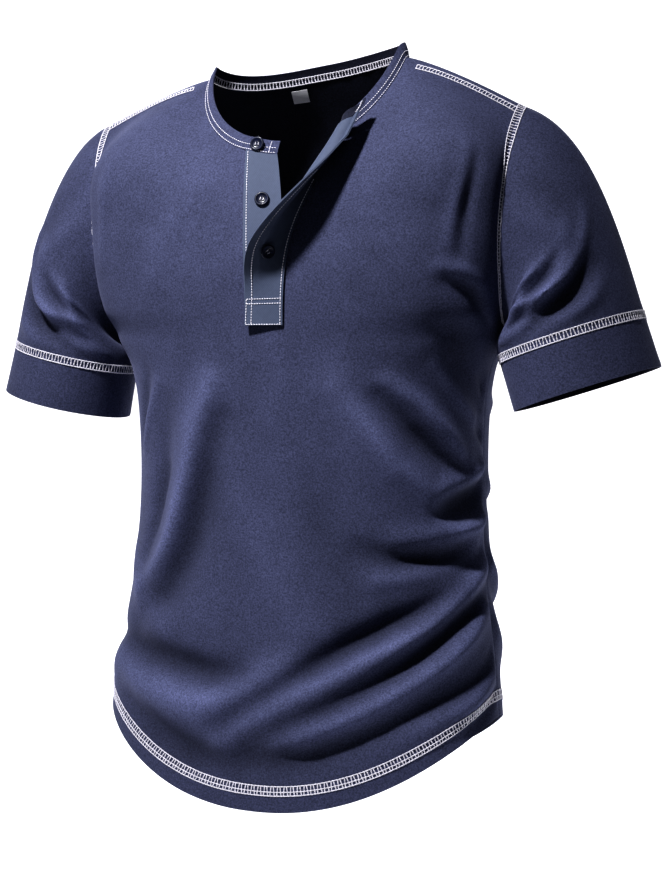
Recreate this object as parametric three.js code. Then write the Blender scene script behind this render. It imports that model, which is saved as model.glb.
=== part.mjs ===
// Henley shirt: short sleeves, a three-button placket worn open at the neck, and a curved hem.
// It keeps the hollow form of a worn shirt. Millimetres, +Z up, the front faces -Y, and +X is
// the wearer's left. The origin is midway between the shoulders, at the base of the neck.

import * as THREE from 'three';

// Cloth and seams
const JERSEY_WALL = 1.8;
const BAND_WALL = 2.0;
const SEAM_GAP = 0.3;
const LAY_GAP = 0.4;

// Neck and shoulders
const NECK_HALF = 103;
const NECK_FRONT_DROP = 92;
const NECK_FRONT_OUT = 78;
const NECK_BACK_DROP = 8;
const NECK_BACK_OUT = 58;
const SHOULDER_SEAM_Y = -8;
const NECK_RIGHT_DROP = 11;
const NECK_BACK_TILT = 7;
const SHOULDER_TIP = { x: 216, y: -4, z: -50 };
const BAND_HEIGHT = 15;
const BAND_SEAM = 0.6;
const FLAP_SEAM = 1.8;
const BAND_RISE = { front: { up: 0.86, towards: 0.5 }, back: { up: 0.97, towards: 0.25 } };

// Placket
const PLACKET_WIDTH = 37;
const PLACKET_BOTTOM = -250;
const SEAM_ALLOWANCE = 3;
const OPEN_RIGHT = 28;
const OPEN_LEFT = 59;
const PARTING = { right: 1.6, left: 3.0 };

// Buttons
const BUTTON_RADIUS = 7;
const BUTTON_THICK = 2.4;
const BUTTON_BEVEL = 0.6;
const BUTTON_HOLE_RADIUS = 0.9;
const BUTTON_HOLE_SPREAD = 2.1;
const BUTTON_SIDES = 20;
const BUTTON_HOLE_SIDES = 6;
const SHANK = { neck: 0.8, stand: 0.5, band: 1.4 };

// Colours
const NAVY = 0x3d4368;
const SLATE = 0x596580;
const DARK_BUTTON = 0x1a2038;
const LABEL_CLOTH = 0xc9cbd6;

// Sections of the body, from the hem to just under the shoulders. Each is half a rounded
// oblong in front and half behind: edge values are at the side seam or the armhole, centre
// values at the middle of the panel. lift raises the cloth towards the side of the neck.
const SECTIONS = [
  { name: 'hem', level: 0, half: 200, edgeY: -14, edgeZ: -622,
    front: -136, frontZ: -704, back: 100, backZ: -706, lift: 0, square: 2.15 },
  { name: 'seat', level: 0.11, half: 193, edgeY: -6, edgeZ: -560,
    front: -128, frontZ: -624, back: 106, backZ: -626, lift: 0, square: 2.15 },
  { name: 'hip', level: 0.24, half: 182, edgeY: 2, edgeZ: -490,
    front: -116, frontZ: -528, back: 112, backZ: -532, lift: 0, square: 2.2 },
  { name: 'waist', level: 0.37, half: 177, edgeY: 8, edgeZ: -412,
    front: -108, frontZ: -432, back: 114, backZ: -434, lift: 0, square: 2.25 },
  { name: 'ribs', level: 0.50, half: 178, edgeY: 6, edgeZ: -335,
    front: -106, frontZ: -345, back: 117, backZ: -346, lift: 0, square: 2.3 },
  { name: 'under armpit', level: 0.57, half: 185, edgeY: 3, edgeZ: -292,
    front: -107, frontZ: -302, back: 118, backZ: -300, lift: 0, square: 2.3 },
  { name: 'armpit', level: 0.62, half: 199, edgeY: 0, edgeZ: -262,
    front: -108, frontZ: -268, back: 118, backZ: -264, lift: 0, square: 2.35 },
  { name: 'low armhole', level: 0.70, half: 205, edgeY: 0, edgeZ: -226,
    front: -108, frontZ: -226, back: 120, backZ: -206, lift: 8, square: 2.35 },
  { name: 'mid armhole', level: 0.80, half: 208, edgeY: 0, edgeZ: -164,
    front: -104, frontZ: -182, back: 116, backZ: -142, lift: 16, square: 2.3 },
  { name: 'high armhole', level: 0.90, half: 211, edgeY: 0, edgeZ: -104,
    front: -93, frontZ: -138, back: 98, backZ: -76, lift: 34, square: 2.2 },
];
const ARMHOLE_BOW = { front: -54, back: 57 };
const BOW_ROUNDNESS = 0.7;
const ARMPIT_LEVEL = 0.62;
const NECK_ACROSS = 0.52;
const SLOT_ACROSS = 0.05;

// How far apart, in the panels' own measures, two points are taken to find a direction.
const SMALL_STEP = 0.004;

// Grid of the front and the back: columns for each half, and rows.
const SHOULDER_COLUMNS = 7;
const NECK_COLUMNS = 7;
const SLOT_COLUMNS = 2;
const ROWS_BELOW_ARMPIT = 20;
const ROWS_ABOVE_ARMPIT = 12;

// Large folds. Each runs from one point to the next; around is measured along the cloth from
// the middle of the panel towards the wearer's left, and up from the origin.
const GIRTH_QUARTER = 262;
const FRONT_FOLDS = [
  { name: 'upper drape from left side', rise: 9, width: 17,
    path: [[262, -486], [210, -502], [131, -544], [68, -587], [10, -628], [-26, -648]] },
  { name: 'hollow over it', rise: -6, width: 16,
    path: [[186, -512], [118, -530], [79, -548], [39, -572]] },
  { name: 'middle drape from left side', rise: 7, width: 15,
    path: [[249, -523], [162, -562], [89, -602], [37, -636], [5, -655]] },
  { name: 'low drape from left side', rise: 6, width: 16,
    path: [[262, -575], [194, -600], [144, -620], [102, -634]] },
  { name: 'swag by right hem', rise: 8, width: 22,
    path: [[-215, -585], [-120, -612], [-55, -617], [20, -580]] },
  { name: 'hollow over swag', rise: -5, width: 18, path: [[-149, -572], [-86, -582], [-20, -580]] },
  { name: 'hollow by right hem', rise: -4, width: 14,
    path: [[-139, -616], [-79, -650], [-29, -668]] },
  { name: 'left armpit crease', rise: 5, width: 17,
    path: [[107, -307], [134, -334], [168, -355], [207, -375]] },
  { name: 'hollow under armpit crease', rise: -4, width: 17,
    path: [[89, -317], [118, -340], [147, -370], [181, -395]] },
  { name: 'left flank roll', rise: 7, width: 24,
    path: [[66, -313], [94, -346], [121, -382], [160, -411], [236, -392]] },
  { name: 'left waist pocket', rise: -6, width: 13, path: [[176, -428], [250, -412]] },
  { name: 'left waist curl', rise: 6, width: 12,
    path: [[120, -452], [181, -447], [228, -444], [262, -427]] },
  { name: 'left hip hollow', rise: -5, width: 13, path: [[131, -472], [170, -474], [236, -462]] },
  { name: 'right flank ridge', rise: 7, width: 18,
    path: [[-50, -309], [-76, -352], [-89, -419], [-102, -470], [-121, -498]] },
  { name: 'right flank hollow', rise: -6, width: 18,
    path: [[-50, -402], [-66, -453], [-94, -508], [-150, -540]] },
  { name: 'right armpit hollow', rise: -5, width: 15,
    path: [[-107, -330], [-118, -380], [-125, -420]] },
];
const BACK_FOLDS = [
  { name: 'left armpit crease', rise: 6, width: 15, path: [[190, -330], [130, -372], [80, -430]] },
  { name: 'right armpit crease', rise: 6, width: 16,
    path: [[-190, -335], [-140, -385], [-100, -450]] },
  { name: 'small of the back', rise: -6, width: 26, path: [[-60, -400], [0, -420], [70, -405]] },
  { name: 'upper drape from left side', rise: 8, width: 18,
    path: [[250, -480], [180, -520], [90, -565], [0, -610]] },
  { name: 'hollow over it', rise: -5, width: 16, path: [[200, -490], [120, -525], [50, -560]] },
  { name: 'low drape from left side', rise: 6, width: 16,
    path: [[250, -540], [170, -585], [90, -622]] },
  { name: 'drape from right side', rise: 7, width: 18,
    path: [[-250, -500], [-170, -545], [-90, -600], [-30, -632]] },
  { name: 'hollow under it', rise: -5, width: 16, path: [[-230, -545], [-150, -590], [-80, -632]] },
  { name: 'left blade roll', rise: 5, width: 22, path: [[150, -170], [120, -230], [100, -290]] },
  { name: 'right blade roll', rise: 5, width: 22,
    path: [[-150, -170], [-122, -235], [-104, -290]] },
];

// Sleeve folds. around runs from the armpit over the front, the shoulder and the back; up is
// minus the distance from the armhole.
const SLEEVE_FOLDS = [
  { name: 'front crease', rise: 5, width: 12,
    path: [[150, -92], [128, -125], [95, -150], [60, -172]] },
  { name: 'hollow under it', rise: -4, width: 11, path: [[160, -122], [128, -152], [90, -172]] },
  { name: 'armpit crease', rise: 5, width: 11, path: [[96, -88], [76, -130], [48, -165]] },
  { name: 'back crease', rise: 5, width: 13, path: [[278, -95], [310, -130], [350, -165]] },
  { name: 'back hollow', rise: -4, width: 12, path: [[262, -125], [300, -158], [340, -178]] },
];
const SLEEVE_GIRTH = 428;
const SLEEVE_LENGTH = 190;

// Sleeves, one row each. side is the sign of X. lean is the tilt of the cuff.
const SLEEVES = [
  { name: 'left', side: 1, cuffX: 264, cuffY: -4, cuffZ: -264, across: 70, deep: 64, lean: 18 },
  { name: 'right', side: -1, cuffX: 259, cuffY: -2, cuffZ: -284, across: 64, deep: 62, lean: 13 },
];
const SLEEVE_RINGS = 11;
const SLEEVE_PULL = 215;
const CUFF_DEPTH = 50;
const CUFF_RINGS = 3;

// The buttonhole band: how far it swings from lying flat to standing off the chest, in degrees,
// and how far its free edge drops, at heights above the slot's end.
const BAND_SWING = [
  { name: 'foot', up: 0, swing: 0, drop: 0 },
  { name: 'box top', up: 27, swing: 0, drop: 0 },
  { name: 'under last button', up: 44, swing: 8, drop: 0 },
  { name: 'last button', up: 66, swing: 34, drop: 0 },
  { name: 'turning', up: 84, swing: 62, drop: 2 },
  { name: 'standing', up: 104, swing: 88, drop: 4 },
  { name: 'leaning back', up: 118, swing: 104, drop: 6 },
  { name: 'below the neckband', up: 138, swing: 122, drop: 10 },
  { name: 'neck', up: 160, swing: 134, drop: 14 },
];

const smooth = (t) => {
  const c = Math.min(1, Math.max(0, t));
  return c * c * (3 - 2 * c);
};
const mix = (a, b, t) => a + (b - a) * t;

// A smooth curve through rows of a table, each with its own level.
function through(rows, levelOf, valueOf, level) {
  let k = 0;
  while (k < rows.length - 2 && level > levelOf(rows[k + 1])) k += 1;
  const slope = (i) => {
    const a = Math.max(0, i - 1);
    const b = Math.min(rows.length - 1, i + 1);
    return valueOf(rows[b]).clone().sub(valueOf(rows[a])).divideScalar(levelOf(rows[b]) - levelOf(rows[a]));
  };
  const span = levelOf(rows[k + 1]) - levelOf(rows[k]);
  const t = (level - levelOf(rows[k])) / span;
  const t2 = t * t;
  const t3 = t2 * t;
  return valueOf(rows[k]).clone().multiplyScalar(2 * t3 - 3 * t2 + 1)
    .addScaledVector(slope(k), (t3 - 2 * t2 + t) * span)
    .addScaledVector(valueOf(rows[k + 1]), 3 * t2 - 2 * t3)
    .addScaledVector(slope(k + 1), (t3 - t2) * span);
}

// A point of one section; across runs from -1 at one side to 1 at the other.
function sectionPoint(section, face, across) {
  const turn = across * Math.PI / 2;
  const n = section.square;
  const reach = (Math.abs(Math.sin(turn)) ** n + Math.abs(Math.cos(turn)) ** n) ** (-1 / n);
  const wide = reach * Math.sin(turn);
  const deep = reach * Math.cos(turn);
  const centreY = face === 'front' ? section.front : section.back;
  const centreZ = face === 'front' ? section.frontZ : section.backZ;
  return new THREE.Vector3(
    section.half * wide,
    mix(section.edgeY, centreY, deep),
    mix(section.edgeZ, centreZ, deep * Math.abs(deep)) + section.lift * Math.sin(across * Math.PI) ** 2,
  );
}

// The top edge of a panel: the neckline between the shoulder seams.
function topPoint(face, across) {
  const out = Math.abs(across);
  const side = Math.sign(across) || 1;
  if (out >= NECK_ACROSS) {
    const t = (out - NECK_ACROSS) / (1 - NECK_ACROSS);
    const neckZ = side < 0 ? -NECK_RIGHT_DROP : 0;
    return new THREE.Vector3(
      side * mix(NECK_HALF, SHOULDER_TIP.x, t),
      mix(SHOULDER_SEAM_Y, SHOULDER_TIP.y, t),
      mix(neckZ, SHOULDER_TIP.z, Math.sign(t) * Math.abs(t) ** 1.25),
    );
  }
  const turn = out / NECK_ACROSS * Math.PI / 2;
  const drop = face === 'front' ? NECK_FRONT_DROP : NECK_BACK_DROP;
  const reach = face === 'front' ? -NECK_FRONT_OUT : NECK_BACK_OUT;
  const tilt = face === 'front' ? 0 : side * NECK_BACK_TILT * Math.sin(2 * turn);
  const lower = side < 0 ? NECK_RIGHT_DROP * Math.sin(turn) ** 2 : 0;
  return new THREE.Vector3(
    side * NECK_HALF * Math.sin(turn) ** 0.94,
    mix(SHOULDER_SEAM_Y, reach, Math.cos(turn)),
    -drop * Math.cos(turn) ** 1.15 - lower + tilt,
  );
}

// Height of the folds at a place on a panel.
function foldRise(folds, around, up) {
  let rise = 0;
  for (const fold of folds) {
    let nearest = Infinity;
    let along = 0;
    for (let k = 0; k + 1 < fold.path.length; k += 1) {
      const [ax, az] = fold.path[k];
      const [bx, bz] = fold.path[k + 1];
      const size = (bx - ax) ** 2 + (bz - az) ** 2;
      const t = Math.min(1, Math.max(0, ((around - ax) * (bx - ax) + (up - az) * (bz - az)) / size));
      const off = Math.hypot(around - mix(ax, bx, t), up - mix(az, bz, t));
      if (off < nearest) {
        nearest = off;
        along = (k + t) / (fold.path.length - 1);
      }
    }
    const fade = 0.35 + 0.65 * Math.sin(Math.PI * mix(0.06, 0.94, along));
    rise += fold.rise * fade * Math.exp(-((nearest / fold.width) ** 2));
  }
  return rise;
}

const columnsOf = (face, across) => {
  const rows = SECTIONS.map((section) => (
    { level: section.level, at: sectionPoint(section, face, across) }));
  rows.push({ level: 1, at: topPoint(face, across) });
  return rows;
};

// The panel without its folds, from hem (level 0) to shoulder seam and neckline (level 1). The
// armhole bows each panel's edge away from the side.
function plainPoint(face, across, level) {
  const at = through(columnsOf(face, across), (row) => row.level, (row) => row.at, level);
  const up = Math.min(1, Math.max(0, (level - ARMPIT_LEVEL) / (1 - ARMPIT_LEVEL)));
  const nearEdge = 1 - Math.cos(across * Math.PI / 2);
  at.y += ARMHOLE_BOW[face] * Math.sin(Math.PI * up) ** BOW_ROUNDNESS * nearEdge;
  return at;
}

function directions(pointAt, across, level, outSign) {
  const step = SMALL_STEP;
  const wide = pointAt(across + step, level).sub(pointAt(across - step, level));
  const high = pointAt(across, Math.min(1, level + step)).sub(pointAt(across, Math.max(0, level - step)));
  const out = wide.clone().cross(high).multiplyScalar(outSign).normalize();
  return { out, wide: wide.normalize(), high: high.normalize() };
}

function panelPoint(face, across, level) {
  const at = plainPoint(face, across, level);
  const folds = face === 'front' ? FRONT_FOLDS : BACK_FOLDS;
  const edge = smooth((1 - Math.abs(across)) / 0.06) * smooth((1 - level) / 0.08);
  const rise = foldRise(folds, across * GIRTH_QUARTER, at.z) * edge;
  const { out } = directions((a, l) => plainPoint(face, a, l), across, level, face === 'front' ? 1 : -1);
  return at.addScaledVector(out, rise);
}

const outSignOf = (face) => (face === 'front' ? 1 : -1);

function panelOut(face, across, level) {
  return directions((a, l) => panelPoint(face, a, l), across, level, outSignOf(face)).out;
}

// Where along a column the front reaches the end of the placket's slot.
function levelAtHeight(height) {
  let low = 0;
  let high = 1;
  for (let k = 0; k < 24; k += 1) {
    const middle = (low + high) / 2;
    if (plainPoint('front', 0, middle).z < height) low = middle;
    else high = middle;
  }
  return low;
}
const SLOT_LEVEL = levelAtHeight(PLACKET_BOTTOM);

// The rows: the armpit and the slot's end lie on rows of their own.
const ROW_LEVELS = (() => {
  const levels = [];
  for (let k = 0; k < ROWS_BELOW_ARMPIT; k += 1) levels.push(ARMPIT_LEVEL * k / ROWS_BELOW_ARMPIT);
  for (let k = 0; k <= ROWS_ABOVE_ARMPIT; k += 1) levels.push(mix(ARMPIT_LEVEL, 1, k / ROWS_ABOVE_ARMPIT));
  const near = levels.reduce((best, level, k) => (
    Math.abs(level - SLOT_LEVEL) < Math.abs(levels[best] - SLOT_LEVEL) ? k : best), 0);
  if (near !== ROWS_BELOW_ARMPIT) levels[near] = SLOT_LEVEL;
  return levels;
})();
const SLOT_ROW = ROW_LEVELS.reduce((best, level, k) => (
  Math.abs(level - SLOT_LEVEL) < Math.abs(ROW_LEVELS[best] - SLOT_LEVEL) ? k : best), 0);

// The two edges of the slot, which parts towards the neck.
function slotEdge(side, level) {
  const up = Math.max(0, (level - SLOT_LEVEL) / (1 - SLOT_LEVEL));
  const parted = up ** (side < 0 ? PARTING.right : PARTING.left);
  const neckTurn = Math.asin((side < 0 ? OPEN_RIGHT : OPEN_LEFT) / NECK_HALF) / (Math.PI / 2) * NECK_ACROSS;
  return side * mix(SLOT_ACROSS, neckTurn, parted);
}

const HALF_COLUMNS = SHOULDER_COLUMNS + NECK_COLUMNS;
const COLUMNS = 2 * HALF_COLUMNS + SLOT_COLUMNS;

function acrossAt(column, level) {
  if (column <= SHOULDER_COLUMNS) return mix(-1, -NECK_ACROSS, column / SHOULDER_COLUMNS);
  if (column <= HALF_COLUMNS) {
    return mix(-NECK_ACROSS, slotEdge(-1, level), (column - SHOULDER_COLUMNS) / NECK_COLUMNS);
  }
  if (column <= HALF_COLUMNS + SLOT_COLUMNS) {
    return mix(slotEdge(-1, level), slotEdge(1, level), (column - HALF_COLUMNS) / SLOT_COLUMNS);
  }
  if (column <= COLUMNS - SHOULDER_COLUMNS) {
    const t = (column - HALF_COLUMNS - SLOT_COLUMNS) / NECK_COLUMNS;
    return mix(slotEdge(1, level), NECK_ACROSS, t);
  }
  return mix(NECK_ACROSS, 1, (column - COLUMNS + SHOULDER_COLUMNS) / SHOULDER_COLUMNS);
}

// The back has no slot, so its columns keep their places at the neckline all the way down.
const backAcross = (column) => acrossAt(column, 1);

// A closed wall of cloth from a grid of outer points and the directions out of the cloth.
// present says which cells hold cloth; outSign is 1 where column step x row step points out.
function clothWall({ columns, rows, outer, out, thickness, outSign, wrap = false, present = () => true }) {
  const across = wrap ? columns : columns + 1;
  const positions = [];
  const index = [];
  const count = across * (rows + 1);
  for (const layer of [0, 1]) {
    for (let j = 0; j <= rows; j += 1) {
      for (let i = 0; i < across; i += 1) {
        const at = outer(i, j).clone();
        if (layer) at.addScaledVector(out(i, j), -thickness);
        positions.push(at.x, at.y, at.z);
      }
    }
  }
  const id = (i, j) => j * across + (wrap ? (i + columns) % columns : i);
  const has = (i, j) => {
    if (j < 0 || j >= rows) return false;
    if (!wrap && (i < 0 || i >= columns)) return false;
    return present(wrap ? (i + columns) % columns : i, j);
  };
  for (let j = 0; j < rows; j += 1) {
    for (let i = 0; i < columns; i += 1) {
      if (!has(i, j)) continue;
      const round = [
        { at: id(i, j), open: !has(i, j - 1) },
        { at: id(i + 1, j), open: !has(i + 1, j) },
        { at: id(i + 1, j + 1), open: !has(i, j + 1) },
        { at: id(i, j + 1), open: !has(i - 1, j) },
      ];
      const corners = round.map((corner) => corner.at);
      const edges = round.map((corner, k) => (
        { from: corner.at, to: corners[(k + 1) % 4], open: corner.open }));
      if (outSign < 0) {
        corners.reverse();
        edges.forEach((edge) => [edge.from, edge.to] = [edge.to, edge.from]);
      }
      const [a, b, c, d] = corners;
      index.push(a, b, c, a, c, d);
      index.push(a + count, c + count, b + count, a + count, d + count, c + count);
      for (const edge of edges) {
        if (!edge.open) continue;
        index.push(edge.to, edge.from, edge.from + count);
        index.push(edge.to, edge.from + count, edge.to + count);
      }
    }
  }
  const geometry = new THREE.BufferGeometry();
  geometry.setAttribute('position', new THREE.Float32BufferAttribute(positions, 3));
  geometry.setIndex(index);
  return geometry;
}

function named(name, geometry, color, roughness) {
  const shape = geometry.index ? geometry.toNonIndexed() : geometry;
  shape.computeVertexNormals();
  const mesh = new THREE.Mesh(shape, new THREE.MeshStandardMaterial({ color, roughness, metalness: 0 }));
  mesh.name = name;
  return mesh;
}

// A border point steps back from its seam by half the gap.
const seamStep = (pointAt, across, level) => {
  const step = SMALL_STEP / 2;
  const inside = pointAt(across - Math.sign(across || 1) * step, level);
  const perAcross = pointAt(across, level).distanceTo(inside) / step;
  return SEAM_GAP / 2 / perAcross;
};

const shirt = new THREE.Group();
shirt.name = 'henley_shirt';

// The front and back panels
const gridCache = new Map();
function panelGrid(face, column, row) {
  const key = `${face} ${column} ${row}`;
  if (!gridCache.has(key)) {
    const level = ROW_LEVELS[row];
    const across = face === 'front' ? acrossAt(column, level) : backAcross(column);
    const seam = row === ROW_LEVELS.length - 1;
    const at = panelPoint(face, across, level);
    const out = panelOut(face, across, level);
    if (seam && Math.abs(across) >= NECK_ACROSS - 1e-6) {
      out.add(panelOut(face === 'front' ? 'back' : 'front', across, level)).normalize();
    }
    const inset = at.clone();
    if (column === 0 || column === COLUMNS) {
      const back = seamStep((a, l) => panelPoint(face, a, l), across, level);
      inset.copy(panelPoint(face, across - Math.sign(across) * back, level));
    }
    if (seam) {
      const below = panelPoint(face, across, level - SMALL_STEP);
      inset.addScaledVector(below.sub(at).normalize(), SEAM_GAP / 2);
    }
    gridCache.set(key, { at, inset, out });
  }
  return gridCache.get(key);
}

const inSlot = (column, row) => (
  column >= HALF_COLUMNS && column < HALF_COLUMNS + SLOT_COLUMNS && row >= SLOT_ROW);

for (const face of ['front', 'back']) {
  shirt.add(named(`${face}_panel`, clothWall({
    columns: COLUMNS,
    rows: ROW_LEVELS.length - 1,
    outer: (i, j) => panelGrid(face, i, j).inset,
    out: (i, j) => panelGrid(face, i, j).out,
    thickness: JERSEY_WALL,
    outSign: outSignOf(face),
    present: (i, j) => face === 'back' || !inSlot(i, j),
  }), NAVY, 0.9));
}

// Sleeves and cuffs
const ARM_ROWS = ROWS_ABOVE_ARMPIT;
const ARM_COLUMNS = 2 * ARM_ROWS;

// The armhole, from the armpit up the front, over the shoulder and down the back.
function armholePoint(side, k) {
  const wrapped = (k + ARM_COLUMNS) % ARM_COLUMNS;
  const face = wrapped <= ARM_ROWS ? 'front' : 'back';
  const row = ROWS_BELOW_ARMPIT + (wrapped <= ARM_ROWS ? wrapped : ARM_COLUMNS - wrapped);
  return plainPoint(face, side, ROW_LEVELS[row]);
}

function sleeveFrame(sleeve) {
  const lean = sleeve.lean * Math.PI / 180;
  const down = new THREE.Vector3(sleeve.side * Math.sin(lean), 0, -Math.cos(lean));
  const outward = new THREE.Vector3(sleeve.side * Math.cos(lean), 0, Math.sin(lean));
  const centre = new THREE.Vector3(sleeve.side * sleeve.cuffX, sleeve.cuffY, sleeve.cuffZ);
  return { down, outward, centre };
}

// A point of a sleeve: k runs round it from the armpit, t from the armhole to the cuff seam.
function plainSleevePoint(sleeve, k, t) {
  const { down, outward, centre } = sleeveFrame(sleeve);
  const turn = k / ARM_COLUMNS * Math.PI * 2;
  const top = (1 - Math.cos(turn)) / 2;
  const start = armholePoint(sleeve.side, k);
  const end = centre.clone()
    .addScaledVector(outward, -sleeve.across * Math.cos(turn))
    .add(new THREE.Vector3(0, -sleeve.deep * Math.sin(turn), 0));
  const leave = new THREE.Vector3(
    sleeve.side * mix(0.62, 0.93, top),
    -0.16 * Math.sin(turn),
    mix(-0.78, -0.3, top),
  ).normalize();
  const pull = mix(0.5, 1, top) * SLEEVE_PULL;
  const arrive = mix(0.55, 1, top) * SLEEVE_PULL;
  const t2 = t * t;
  const t3 = t2 * t;
  return start.multiplyScalar(2 * t3 - 3 * t2 + 1)
    .addScaledVector(leave, (t3 - 2 * t2 + t) * pull)
    .addScaledVector(end, 3 * t2 - 2 * t3)
    .addScaledVector(down, (t3 - t2) * arrive);
}

function tubeOut(pointAt, k, t, outSign) {
  const a = pointAt(k + 1, t).sub(pointAt(k - 1, t));
  const b = pointAt(k, Math.min(1, t + 0.01)).sub(pointAt(k, Math.max(0, t - 0.01)));
  return a.cross(b).multiplyScalar(outSign).normalize();
}

function sleevePoint(sleeve, k, t) {
  const around = (k + ARM_COLUMNS) % ARM_COLUMNS / ARM_COLUMNS * SLEEVE_GIRTH;
  const ends = smooth(t / 0.2) * smooth((1 - t) / 0.12);
  const rise = foldRise(SLEEVE_FOLDS, around, -t * SLEEVE_LENGTH) * ends;
  const out = tubeOut((a, b) => plainSleevePoint(sleeve, a, b), k, t, -sleeve.side);
  return plainSleevePoint(sleeve, k, t).addScaledVector(out, rise);
}

function cuffPoint(sleeve, k, t) {
  const { down, outward, centre } = sleeveFrame(sleeve);
  const at = sleevePoint(sleeve, k, 1);
  const flare = 1 + 0.02 * t;
  const from = at.sub(centre);
  const turn = k / ARM_COLUMNS * Math.PI * 2;
  const wave = 1.5 * t * Math.sin(turn * 3 + sleeve.side);
  return centre.clone().addScaledVector(from, flare).addScaledVector(down, CUFF_DEPTH * t)
    .addScaledVector(outward, wave * 0.5);
}

for (const sleeve of SLEEVES) {
  const tubes = [
    {
      name: 'sleeve',
      rings: SLEEVE_RINGS,
      pointAt: (k, t) => sleevePoint(sleeve, k, t),
      length: SLEEVE_LENGTH,
    },
    {
      name: 'cuff',
      rings: CUFF_RINGS,
      pointAt: (k, t) => cuffPoint(sleeve, k, t),
      length: CUFF_DEPTH,
    },
  ];
  for (const tube of tubes) {
    const inset = SEAM_GAP / 2 / tube.length;
    const outSign = -sleeve.side;
    shirt.add(named(`${tube.name}_${sleeve.name}`, clothWall({
      columns: ARM_COLUMNS,
      rows: tube.rings,
      wrap: true,
      outer: (i, j) => tube.pointAt(i, mix(inset, 1 - inset, j / tube.rings)),
      out: (i, j) => tubeOut(tube.pointAt, i, j / tube.rings, outSign),
      thickness: JERSEY_WALL,
      outSign,
    }), NAVY, 0.9));
  }
}

// Button stand, on the wearer's right edge of the slot
const SLOT_ROWS = ROW_LEVELS.length - 1 - SLOT_ROW;
const FOOT_LAP = 0.005;
const placketLevel = (row, foot) => (row === 0 ? SLOT_LEVEL + foot : ROW_LEVELS[SLOT_ROW + row]);
const standLevelAt = (row) => placketLevel(row, FOOT_LAP);
const bandLevelAt = (row) => placketLevel(row, -FOOT_LAP);

function acrossPerMm(level) {
  const step = 0.01;
  return step / plainPoint('front', 0, level).distanceTo(plainPoint('front', step, level));
}

function standPoint(level, t, lifted = 0) {
  const per = acrossPerMm(level);
  const across = slotEdge(-1, level) + mix(-SEAM_ALLOWANCE, PLACKET_WIDTH - SEAM_ALLOWANCE, t) * per;
  const out = mix(LAY_GAP + BAND_WALL, -JERSEY_WALL - LAY_GAP, smooth(t));
  return panelPoint('front', across, level).addScaledVector(panelOut('front', across, level), out + lifted);
}

const standNormal = (level, t) => standPoint(level, t, 1).sub(standPoint(level, t));

const STAND_COLUMNS = 3;
shirt.add(named('button_stand', clothWall({
  columns: STAND_COLUMNS,
  rows: SLOT_ROWS,
  outer: (i, j) => standPoint(standLevelAt(j), i / STAND_COLUMNS),
  out: (i, j) => standNormal(standLevelAt(j), i / STAND_COLUMNS),
  thickness: BAND_WALL,
  outSign: 1,
}), SLATE, 0.85));

// Buttonhole band, on the wearer's left edge, lying over the stand below and standing off above
function swingAt(up) {
  const rows = BAND_SWING.map((row) => ({ up: row.up, value: new THREE.Vector3(row.swing, row.drop, 0) }));
  const value = through(rows, (row) => row.up, (row) => row.value, Math.min(up, rows[rows.length - 1].up));
  return { swing: value.x * Math.PI / 180, drop: value.y };
}

function bandPoint(level, t) {
  const across = slotEdge(1, level) + SEAM_ALLOWANCE * acrossPerMm(level);
  const hinge = panelPoint('front', across, level);
  const { out, wide } = directions((a, l) => panelPoint('front', a, l), across, level, 1);
  hinge.addScaledVector(out, LAY_GAP + BAND_WALL);
  const { swing, drop } = swingAt(hinge.z - PLACKET_BOTTOM);
  const bend = swing * Math.min(1, t * 1.6);
  const flatOut = (BAND_WALL + LAY_GAP) * t * Math.max(0, Math.cos(swing));
  return hinge
    .addScaledVector(wide, -PLACKET_WIDTH * t * Math.cos(bend))
    .addScaledVector(out, PLACKET_WIDTH * t * Math.sin(bend) + flatOut)
    .add(new THREE.Vector3(0, 0, -drop * t));
}

function gridOut(pointAt, i, j, columns, rows, outSign) {
  const a = pointAt(Math.min(columns, i + 1), j).sub(pointAt(Math.max(0, i - 1), j));
  const b = pointAt(i, Math.min(rows, j + 1)).sub(pointAt(i, Math.max(0, j - 1)));
  return a.cross(b).multiplyScalar(outSign).normalize();
}

const BAND_COLUMNS = 5;
const bandGrid = (i, j) => bandPoint(bandLevelAt(j), 1 - i / BAND_COLUMNS);
shirt.add(named('buttonhole_band', clothWall({
  columns: BAND_COLUMNS,
  rows: SLOT_ROWS,
  outer: bandGrid,
  out: (i, j) => gridOut(bandGrid, i, j, BAND_COLUMNS, SLOT_ROWS, 1),
  thickness: BAND_WALL,
  outSign: 1,
}), SLATE, 0.85));

// Neckband: along the stand, round the neck, and on along the buttonhole band
const neckPath = (() => {
  const path = [];
  const last = ROW_LEVELS.length - 1;
  for (let k = 0; k < STAND_COLUMNS; k += 1) {
    path.push({ at: standPoint(1, 1 - k / STAND_COLUMNS), lean: 'front' });
  }
  for (let i = HALF_COLUMNS - 1; i >= SHOULDER_COLUMNS; i -= 1) {
    path.push({ at: panelGrid('front', i, last).at, lean: 'front' });
  }
  for (let i = SHOULDER_COLUMNS + 1; i < COLUMNS - SHOULDER_COLUMNS; i += 1) {
    path.push({ at: panelGrid('back', i, last).at, lean: 'back' });
  }
  for (let i = COLUMNS - SHOULDER_COLUMNS; i > HALF_COLUMNS + SLOT_COLUMNS; i -= 1) {
    path.push({ at: panelGrid('front', i, last).at, lean: 'front' });
  }
  for (let k = 0; k <= BAND_COLUMNS; k += 1) {
    path.push({ at: bandPoint(1, k / BAND_COLUMNS), lean: 'flap', k });
  }
  return path;
})();

const BAND_ROWS = 2;
const FLAP_JOIN = 0.45;

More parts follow.
